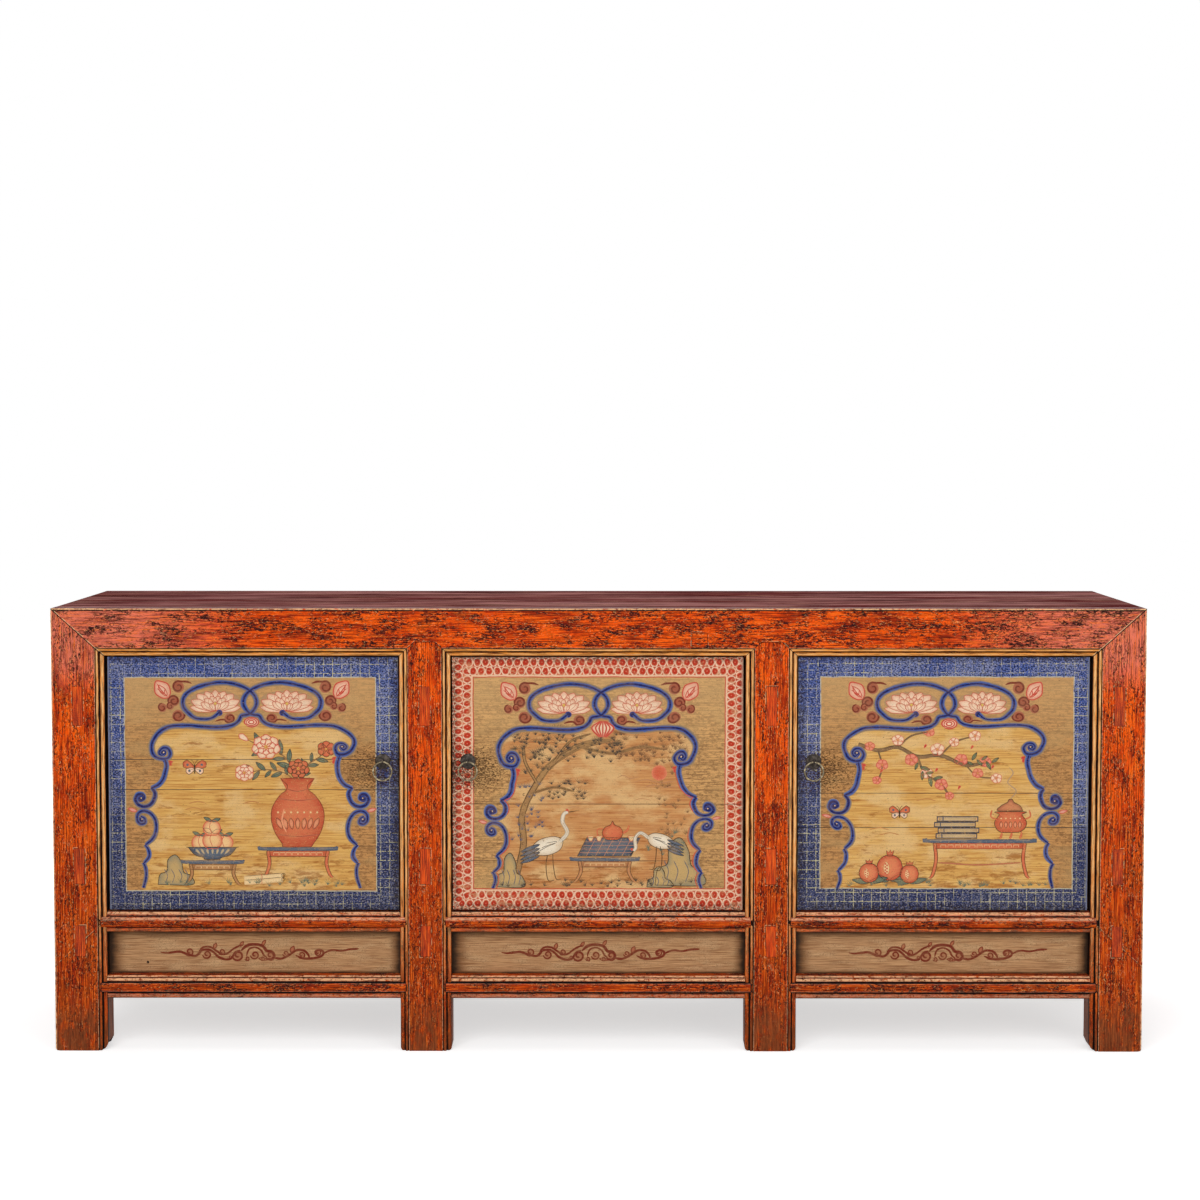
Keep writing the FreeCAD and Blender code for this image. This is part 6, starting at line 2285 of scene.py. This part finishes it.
class BranchPicture(Picture):
    """Right door: a flowering branch over a side table with books and a lidded pot, and fruit on the ground."""

    def paint(self) -> None:
        """The whole picture."""
        self._branch()
        self.table(-34, 160, 336, 408)
        self.stroke([(-16, 366), (60, 362), (142, 366)], 3.2, Ink.of(150, 84, 58, 196, 118, 82), (0.8, 0.8))
        self._pot(122)
        self._books()
        for fruit in ((-110, 356, 25), (-150, 346, 19), (-72, 344, 18)):
            self._fruit(*fruit)
        self.butterfly((-92, 462), 22)
        self.haze(((-150, 430), (-130, 420), (-60, 486)), 20, (38, 0), 1.6)
        self.tufts((-196, 196, 318, 328), 28, 11, LEAF, 21)

    def _branch(self) -> None:
        """The branch with its twigs, blossoms, buds and leaves."""
        for width, *path in (
            (7.5, (-172, 596), (-134, 584), (-96, 590), (-58, 572), (-14, 574), (34, 556), (74, 560)),
            (3.6, (-96, 590), (-70, 612), (-34, 620)), (4.0, (-58, 572), (-44, 540), (-14, 520), (4, 496)),
            (3.4, (-134, 584), (-126, 552), (-134, 524)), (3.2, (-14, 574), (14, 600), (52, 612)),
            (2.8, (34, 556), (58, 534), (96, 530)),
        ):
            self.stroke(path, width, Ink.of(92, 70, 52, 128, 98, 70), (1.0, 0.25))
            self.stroke(shifted(path, 0, width * 0.35), 0.9, LINE, (0.5, 0.2))
        flowers = (
            (-96, 604, 12), (-36, 620, 11), (-70, 566, 13), (-20, 586, 14), (26, 566, 13), (72, 562, 12), (52, 612, 12),
            (-126, 556, 12), (-136, 526, 9), (-40, 540, 12), (-12, 518, 13), (4, 496, 9), (94, 530, 11), (58, 540, 11),
            (-150, 592, 10), (12, 600, 10),
        )
        rosy = Ink.of(206, 86, 72, 232, 140, 116)
        for index, (x, z, radius) in enumerate(flowers):
            self.blossom((x, z), radius, 5, rosy if index % 3 else PETAL, RED, 90 + 25 * index)
        for x, z in ((-112, 584), (-46, 588), (44, 586), (-24, 542), (84, 548), (-130, 540), (20, 508)):
            self.petal((x, z), (x + 5, z + 8), 5, RED, None)
        self.leaves([(-60, 566), (-48, 544), (-26, 528)], 6, 20, OLIVE)
        self.leaves([(30, 560), (56, 566), (86, 560)], 6, 18, OLIVE)

    def _pot(self, x: float) -> None:
        """A lidded pot on three feet, with two ears, petals round it and a thread of smoke.

        Args:
            x: Its middle.
        """
        for foot in (102, 121, 140):
            self.stroke([(foot, 413), (foot + 3, 420), (foot + 3, 427)], 4.4, SALMON, (0.9, 0.5))
        belly = turned(x, [(16, 425), (27, 432), (31, 444), (25, 455), (22, 460), (28, 465)])
        self.patch(belly, SALMON, line=LINE, width=1.3)
        lid = turned(x, [(24, 467), (18, 477), (7, 483), (3, 489)])
        self.patch(lid, Ink.of(150, 84, 58, 204, 128, 88), line=LINE, width=1.1)
        for side in (1, -1):
            ear = [(x + side * 27, 450), (x + side * 38, 456), (x + side * 36, 468)]
            self.stroke(ear, 3.2, SALMON, (0.9, 0.5))
        for across in range(-18, 19, 9):
            self.petal((x + across, 433), (x + across, 446), 6, ROSE, LINE, 0.6, 0.7)
            self.dot((x + across, 452), 1.5, PALE)
        smoke = [(122, 490), (132, 506), (116, 522), (126, 540), (118, 552)]
        self.stroke(smoke, 2.2, Ink.of(200, 160, 116, 170, 140, 112), (0.4, 0.1))

    def _books(self) -> None:
        """Four books in a slightly slipped pile, their leaves drawn as lines."""
        for level, slip in enumerate((0, 4, -3, 2)):
            low = 413 + 11 * level
            for (left, right, bottom, top), style in (
                ((-22, 58, 0, 10), (SLATE, False, LINE, 1.0)), ((-20, 56, 2, 8), (PALE, False))
            ):
                corners = [(left, bottom), (right, bottom), (right, top), (left, top)]
                self.patch(shifted(corners, slip, low), *style)
            for step in (3.6, 5.2, 6.6):
                self.stroke([(-18 + slip, low + step), (54 + slip, low + step)], 0.7, LINE, (0.8, 0.8), False)
            self.stroke([(-10 + slip, low + 1), (-10 + slip, low + 9)], 2.4, SLATE, (0.9, 0.9), False)

    def _fruit(self, x: float, z: float, radius: float) -> None:
        """A round fruit with a crown, cut open to its seeds, between two leaves.

        Args:
            x: Its middle.
            z: Its middle's height.
            radius: Its radius.
        """
        for across, up, breadth in ((1.9, 0.5, 0.6), (-1.7, 0.7, 0.55)):
            tip = (x + radius * across, z - radius * up)
            self.petal((x, z - radius), tip, radius * breadth, LEAF, LINE, 0.5, 0.9)
        ball = rounded((x, z), (radius, radius), range(0, 360, 36))
        self.patch(ball, Ink.of(186, 62, 46, 224, 128, 88), line=LINE, width=1.2)
        teeth = ((-5, 0.9), (-7, 1.35), (-2, 1.15), (1, 1.42), (3, 1.15), (8, 1.35), (5, 0.9))
        self.patch([(x + across, z + radius * up) for across, up in teeth], SALMON, False, LINE, 0.9)
        cut = (x - radius * 0.3, z + radius * 0.5), (x - radius * 0.2, z - radius * 0.6)
        self.petal(*cut, radius * 0.5, PALE, RED, 0.5, 0.8)
        for index in range(8):
            seed = (x - radius * 0.34 + 3.2 * (index % 2), z + radius * 0.3 - 0.12 * radius * index)
            self.dot(seed, radius * 0.075, RED)


PICTURES = {Bay.LEFT: VasePicture, Bay.CENTRE: CranePicture, Bay.RIGHT: BranchPicture}
DOOR_GAP = 2.5
DOOR_BOTTOM = 273.1
DOOR_TOP = DOOR_HEAD - DOOR_GAP
DOOR_WIDTH = BAY_WIDTH - 2 * DOOR_GAP
PULL_HEIGHT = 562.0


@dataclass(frozen=True)
class Door:
    """One door: its boards, its painting and its ring pull.

    Attributes:
        bay: Which opening it closes.
        axis: X of the middle of its ornament.
        inside: Left, right, bottom and top of the ground inside the border.
        shares: Where its boards meet, as shares of its height.
        thick: How thick it is.
        pull_in: How far its pull is from its free edge.
        plate_radius: Radius of the pull's plate.
        ring_radius: Radius of the ring, in the middle of its wire.
        ring_out: How far the ring hangs in front of the door.
        wire: Radius of the ring's wire.
    """

    bay: Bay
    axis: float
    inside: tuple[float, float, float, float]
    shares: tuple[float, ...]
    thick: float = 20.0
    pull_in: float = 30.0
    plate_radius: float = 15.0
    ring_radius: float = 18.0
    ring_out: float = 8.7
    wire: float = 1.5

    @property
    def body(self) -> str:
        """The body that the door moves with."""
        return f"door_{self.bay.word}"

    @property
    def slot(self) -> str:
        """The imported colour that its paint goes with."""
        # The name of an imported colour slot for the door's paint, which is passed on but not used.
        return "centre_door_paint" if self.bay is Bay.CENTRE else "outer_door_paint"

    @property
    def left(self) -> float:
        """X of the door's left edge."""
        return self.bay.left + DOOR_GAP

    @property
    def pull_x(self) -> float:
        """X of the ring pull, in from the free edge."""
        return self.left + (DOOR_WIDTH - self.pull_in if self.bay is Bay.LEFT else self.pull_in)

    @property
    def seed(self) -> int:
        """The pattern of the door's uneven face."""
        return 101 + self.bay.value

    def build(self) -> None:
        """Boards, painting and pull."""
        self._boards()
        Painting(self, PICTURES[self.bay](self.axis, DOOR_FACE, DOOR_WORN, self.seed)).build()
        self._plate()
        self._ring()

    def _section(self) -> np.ndarray:
        """The outline of the boards seen from above, with a half-round hinge edge.

        Returns:
            Its points, across from the door's left edge and in from its face.
        """
        turn = np.radians(np.linspace(-90, 90, 13))
        half = self.thick / 2
        hinge = np.column_stack((half - half * np.cos(turn), half - half * np.sin(turn)))
        front = np.linspace(14, DOOR_WIDTH - 0.5, 125)
        free = np.array([(DOOR_WIDTH, deep) for deep in (0.5, 7, 14, self.thick)])
        back = np.linspace(DOOR_WIDTH - self.thick, 30, 20)
        runs = (hinge, np.column_stack((front, 0 * front)), free, np.column_stack((back, 0 * back + self.thick)))
        section = np.concatenate(runs)
        if self.bay is not Bay.LEFT:
            section[:, 0] = DOOR_WIDTH - section[:, 0]
        return section

    def _boards(self) -> None:
        """The boards edge to edge, with fine chamfers where they meet."""
        heights = [DOOR_BOTTOM + (DOOR_TOP - DOOR_BOTTOM) * share for share in self.shares]
        loop = tagged(self._section())
        chamfer = np.clip(0.5 - loop[:, 1], 0, 0.5) + 0.06
        place = (self.left, DOOR_FACE)
        shell = Shell.joined([
            sweep(
                loop, stations(low, high, 4.0), low + chamfer, high - chamfer, Grain.UPRIGHT, place, DOOR_WORN,
                self.seed, Grain.LEVEL,
            )
            for low, high in zip(heights, heights[1:])
        ])
        shell.wear[:, 0] = picture_mask(self.bay, shell.points[:, 0] - self.axis, shell.points[:, 2])
        left, right, bottom, top = self.inside
        middle, half = ((left + right) / 2, (bottom + top) / 2), ((right - left) / 2, (top - bottom) / 2)
        ground = DoorGround(self.bay, middle, half, tuple(heights[1:-1]), self.pull_x)
        piece = make_piece(f"{self.body}_boards", shell, ground.build())
        dress(piece, f"{self.body}_panel", self.body)

    def _plate(self) -> None:
        """The domed iron plate behind the ring, which stays with the door."""
        iron = Iron(f"plate_iron_{self.bay.word}", colour(44, 37, 31), colour(74, 64, 55), 0.5).build()
        rings, spokes = 14, 56
        share = np.linspace(0, 1, rings)[:, None]
        angle = np.linspace(0, 2 * math.pi, spokes, endpoint=False)[None, :]
        radius = self.plate_radius * share * (1 + 0.012 * np.sin(3 * angle) * share)
        out = 1.2 + 2.8 * (1 - share**2) + 0 * angle
        out = np.where(share > 0.93, out - 1.0 * (share - 0.93) / 0.07, out)
        x = self.pull_x + radius * np.cos(angle)
        z = PULL_HEIGHT + radius * np.sin(angle)
        front = np.stack((x, DOOR_FACE - out + 0 * x, z), axis=-1)
        rim = np.stack((x[-1], np.full(spokes, DOOR_FACE + 0.1), z[-1]), axis=-1)[None]
        points = np.concatenate((front, rim)).reshape(-1, 3)
        points[:, 1] += 0.07 * value_noise(points, 4.0, 5) * (points[:, 1] < DOOR_FACE - 0.6)
        back = np.arange(rings * spokes, (rings + 1) * spokes)[None]
        shell = Shell(points, [grid_faces(rings + 1, spokes, closed=True), back], np.zeros((len(points), 4)))
        piece = make_piece(f"pull_{self.bay.word}_dome", shell, iron)
        dress(piece, f"pull_plate_{self.bay.word}", self.body)

    def _ring(self) -> None:
        """The worn wire ring, which hangs from the pin's eye on a joint of its own."""
        # The ring's dark and bright colours are lightened beyond iron's own, a painted highlight standing in for the
        # glints along the thin wire.
        iron = Iron(f"ring_iron_{self.bay.word}", colour(118, 106, 82), colour(206, 190, 152), 0.25).build()
        around, section = 96, 18
        turn = np.linspace(0, 2 * math.pi, around, endpoint=False)[:, None]
        spin = np.linspace(0, 2 * math.pi, section, endpoint=False)[None, :]
        radius = self.ring_radius
        circle = np.stack((radius * np.cos(turn), 0 * turn, radius * np.sin(turn)), axis=-1).reshape(-1, 3)
        thick = (self.wire + 0.14 * value_noise(circle, 7.0, 9) - 0.12).reshape(-1, 1)
        away = radius + thick * np.cos(spin)
        x = self.pull_x + away * np.cos(turn)
        z = PULL_HEIGHT - radius + away * np.sin(turn)
        y = DOOR_FACE - self.ring_out + thick * np.sin(spin)
        points = np.stack((x, y, z), axis=-1).reshape(-1, 3)
        last = np.arange(section)
        after, first = (last + 1) % section, (around - 1) * section
        closing = np.stack((first + last, first + after, after, last), axis=-1)
        shell = Shell(points, [grid_faces(around, section, closed=True), closing], np.zeros((len(points), 4)))
        piece = make_piece(f"ring_{self.bay.word}_wire", shell, iron)
        dress(piece, f"pull_ring_{self.bay.word}", f"ring_{self.bay.word}")


DOORS = (
    Door(Bay.LEFT, -669.7, (-911.0, -429.0, 311.0, 723.5), (0.0, 0.476, 0.595, 1.0)),
    Door(Bay.CENTRE, 5.8, (-239.5, 243.5, 315.5, 724.5), (0.0, 0.195, 0.42, 1.0)),
    Door(Bay.RIGHT, 672.7, (429.0, 913.5, 316.5, 725.0), (0.0, 0.328, 0.464, 1.0)),
)


@dataclass(frozen=True)
class Studio:
    """White floor and backdrop, soft light from the front and above, and the camera."""

    lens: float = 62.6
    shift: float = -0.051
    place: tuple[float, float, float] = (0.01844, -4.2094, 1.19056)
    tilt: float = 2.8555
    turn: float = 0.2135

    def build(self) -> None:
        """Camera, lamps, world and floor."""
        scene = bpy.context.scene
        data = bpy.data.cameras.new("camera")
        data.sensor_width, data.lens, data.shift_y = 36.0, self.lens, self.shift
        camera = bpy.data.objects.new("camera", data)
        camera.location = self.place
        camera.rotation_euler = Euler((math.radians(90 - self.tilt), 0, math.radians(self.turn)))
        bpy.context.collection.objects.link(camera)
        scene.camera = camera
        scene.view_settings.view_transform = "Standard"
        self._lamp("key", (-1.2, -4.2, 3.4), 3.2, 104.0)
        self._lamp("fill", (2.4, -3.6, 1.8), 3.0, 44.0)
        self._lamp("overhead", (0.0, 0.6, 3.6), 3.4, 44.0)
        self._world(scene)
        self._floor()

    def _lamp(self, name: str, place: tuple[float, float, float], size: float, power: float) -> None:
        """A square soft box that looks at the middle of the sideboard.

        Args:
            name: The lamp's name.
            place: Where it hangs, in metres.
            size: The length of its sides, in metres.
            power: Its power in watts.
        """
        data = bpy.data.lights.new(name, "AREA")
        data.shape, data.size, data.energy = "SQUARE", size, power
        lamp = bpy.data.objects.new(name, data)
        lamp.location = place
        aim = np.array((0.0, 0.0, 0.45)) - np.array(place)
        flat = math.hypot(aim[0], aim[1])
        lamp.rotation_euler = Euler((math.atan2(flat, -aim[2]), 0, math.atan2(aim[1], aim[0]) - math.pi / 2))
        bpy.context.collection.objects.link(lamp)

    def _world(self, scene: bpy.types.Scene) -> None:
        """White where the camera looks past the object, and a quieter ambient light on it.

        Args:
            scene: The scene it goes to.
        """
        world = bpy.data.worlds.new("studio")
        world.use_nodes = True
        scene.world = world
        nodes, links = world.node_tree.nodes, world.node_tree.links
        ambient, white = nodes["Background"], nodes.new("ShaderNodeBackground")
        for light, strength in ((ambient, 0.32), (white, 1.0)):
            light.inputs["Color"].default_value = (1, 1, 1, 1)
            light.inputs["Strength"].default_value = strength
        rays = nodes.new("ShaderNodeLightPath")
        mix = nodes.new("ShaderNodeMixShader")
        shown = rays.outputs["Is Camera Ray"]
        for kind in ("Is Glossy Ray", "Is Transmission Ray"):
            either = nodes.new("ShaderNodeMath")
            either.operation = "MAXIMUM"
            links.new(shown, either.inputs[0])
            links.new(rays.outputs[kind], either.inputs[1])
            shown = either.outputs[0]
        links.new(shown, mix.inputs[0])
        links.new(ambient.outputs[0], mix.inputs[1])
        links.new(white.outputs[0], mix.inputs[2])
        links.new(mix.outputs[0], nodes["World Output"].inputs["Surface"])

    def _floor(self) -> None:
        """A wide white floor that keeps the object's soft shadow."""
        graph = Graph("floor_white", 0.9, 0.0)
        graph.shader.inputs["Base Color"].default_value = (0.8, 0.8, 0.8, 1)
        graph.shader.inputs["Emission Color"].default_value = (1, 1, 1, 1)
        rays = graph.node("ShaderNodeLightPath").outputs
        seen = graph.maths("MAXIMUM", rays["Is Camera Ray"], rays["Is Glossy Ray"]).max(rays["Is Transmission Ray"])
        far = graph.y.max(abs(graph.x) - 1100).max(-1000.0 - graph.y).ramp(500, 1500)
        graph.link(seen * (far * 0.44 + 0.58), graph.shader.inputs["Emission Strength"])
        size = 9000.0
        corners = np.array([(-size, -size, 0), (size, -size, 0), (size, size, 0), (-size, size, 0)])
        shell = Shell(corners, [np.array([[0, 1, 2, 3]])], np.zeros((4, 4)))
        make_piece("studio_floor", shell, graph.material, weld=False, smooth=False)


@dataclass(frozen=True)
class Finishes:
    """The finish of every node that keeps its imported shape.

    Attributes:
        vermilion: Paint on the ends of the side rails.
        side: Lacquer on the ends of the sideboard.
    """

    vermilion: PanelPaint = PanelPaint(
        "tenon_ends", Grain.UPRIGHT, colour(230, 78, 8), colour(190, 54, 8), colour(60, 24, 16), 0.6, Outside.FRONT
    )
    side: PanelPaint = PanelPaint(
        "side_lacquer", Grain.DEEP, colour(208, 68, 10), colour(168, 48, 8), colour(66, 26, 16), 0.48, Outside.ENDS
    )

    def apply(self, frame: dict) -> None:
        """Chooses by the node's name; the first word that fits wins.
        """
        bare, upright = PanelPaint("bare_wood", Grain.LEVEL).build(), PanelPaint("bare_upright", Grain.UPRIGHT).build()
        side, vermilion = self.side.build(), self.vermilion.build()
        rear_level = PanelPaint("rear_level", Grain.LEVEL, *TOP_LACQUER_AND_SHEEN).build()
        rear_upright = PanelPaint("rear_upright", Grain.UPRIGHT, *TOP_LACQUER_AND_SHEEN).build()
        table = {
            "pull_pin": Iron("pin_iron", colour(62, 55, 50), colour(120, 108, 92)).build(),
            "side_panels": side, "side_rail": side, "end_top_rail": side, "tenon_wedges": vermilion,
            "inner_rails": vermilion, "rear_post": rear_upright, "rear_stile": rear_upright,
            "rear_top_rail": rear_level, "batten": upright, "peg": upright, "": bare,
        }
        for name, node in frame["nodes"].items():
            node.data.materials.clear()
            node.data.materials.append(next(finish for word, finish in table.items() if word in name))
        log.info("finishes on %d nodes", len(frame["nodes"]))


def main() -> None:
    """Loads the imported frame, dresses it and sets the studio."""
    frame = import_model()
    Finishes().apply(frame)
    FrontFrame().build()
    boards = Boards()
    boards.aprons()
    boards.top()
    ApronScroll().build()
    for door in DOORS:
        door.build()
    Studio().build()


if __name__ == "__main__":
    logging.basicConfig(level=logging.INFO, format="%(name)s: %(message)s")
    main()
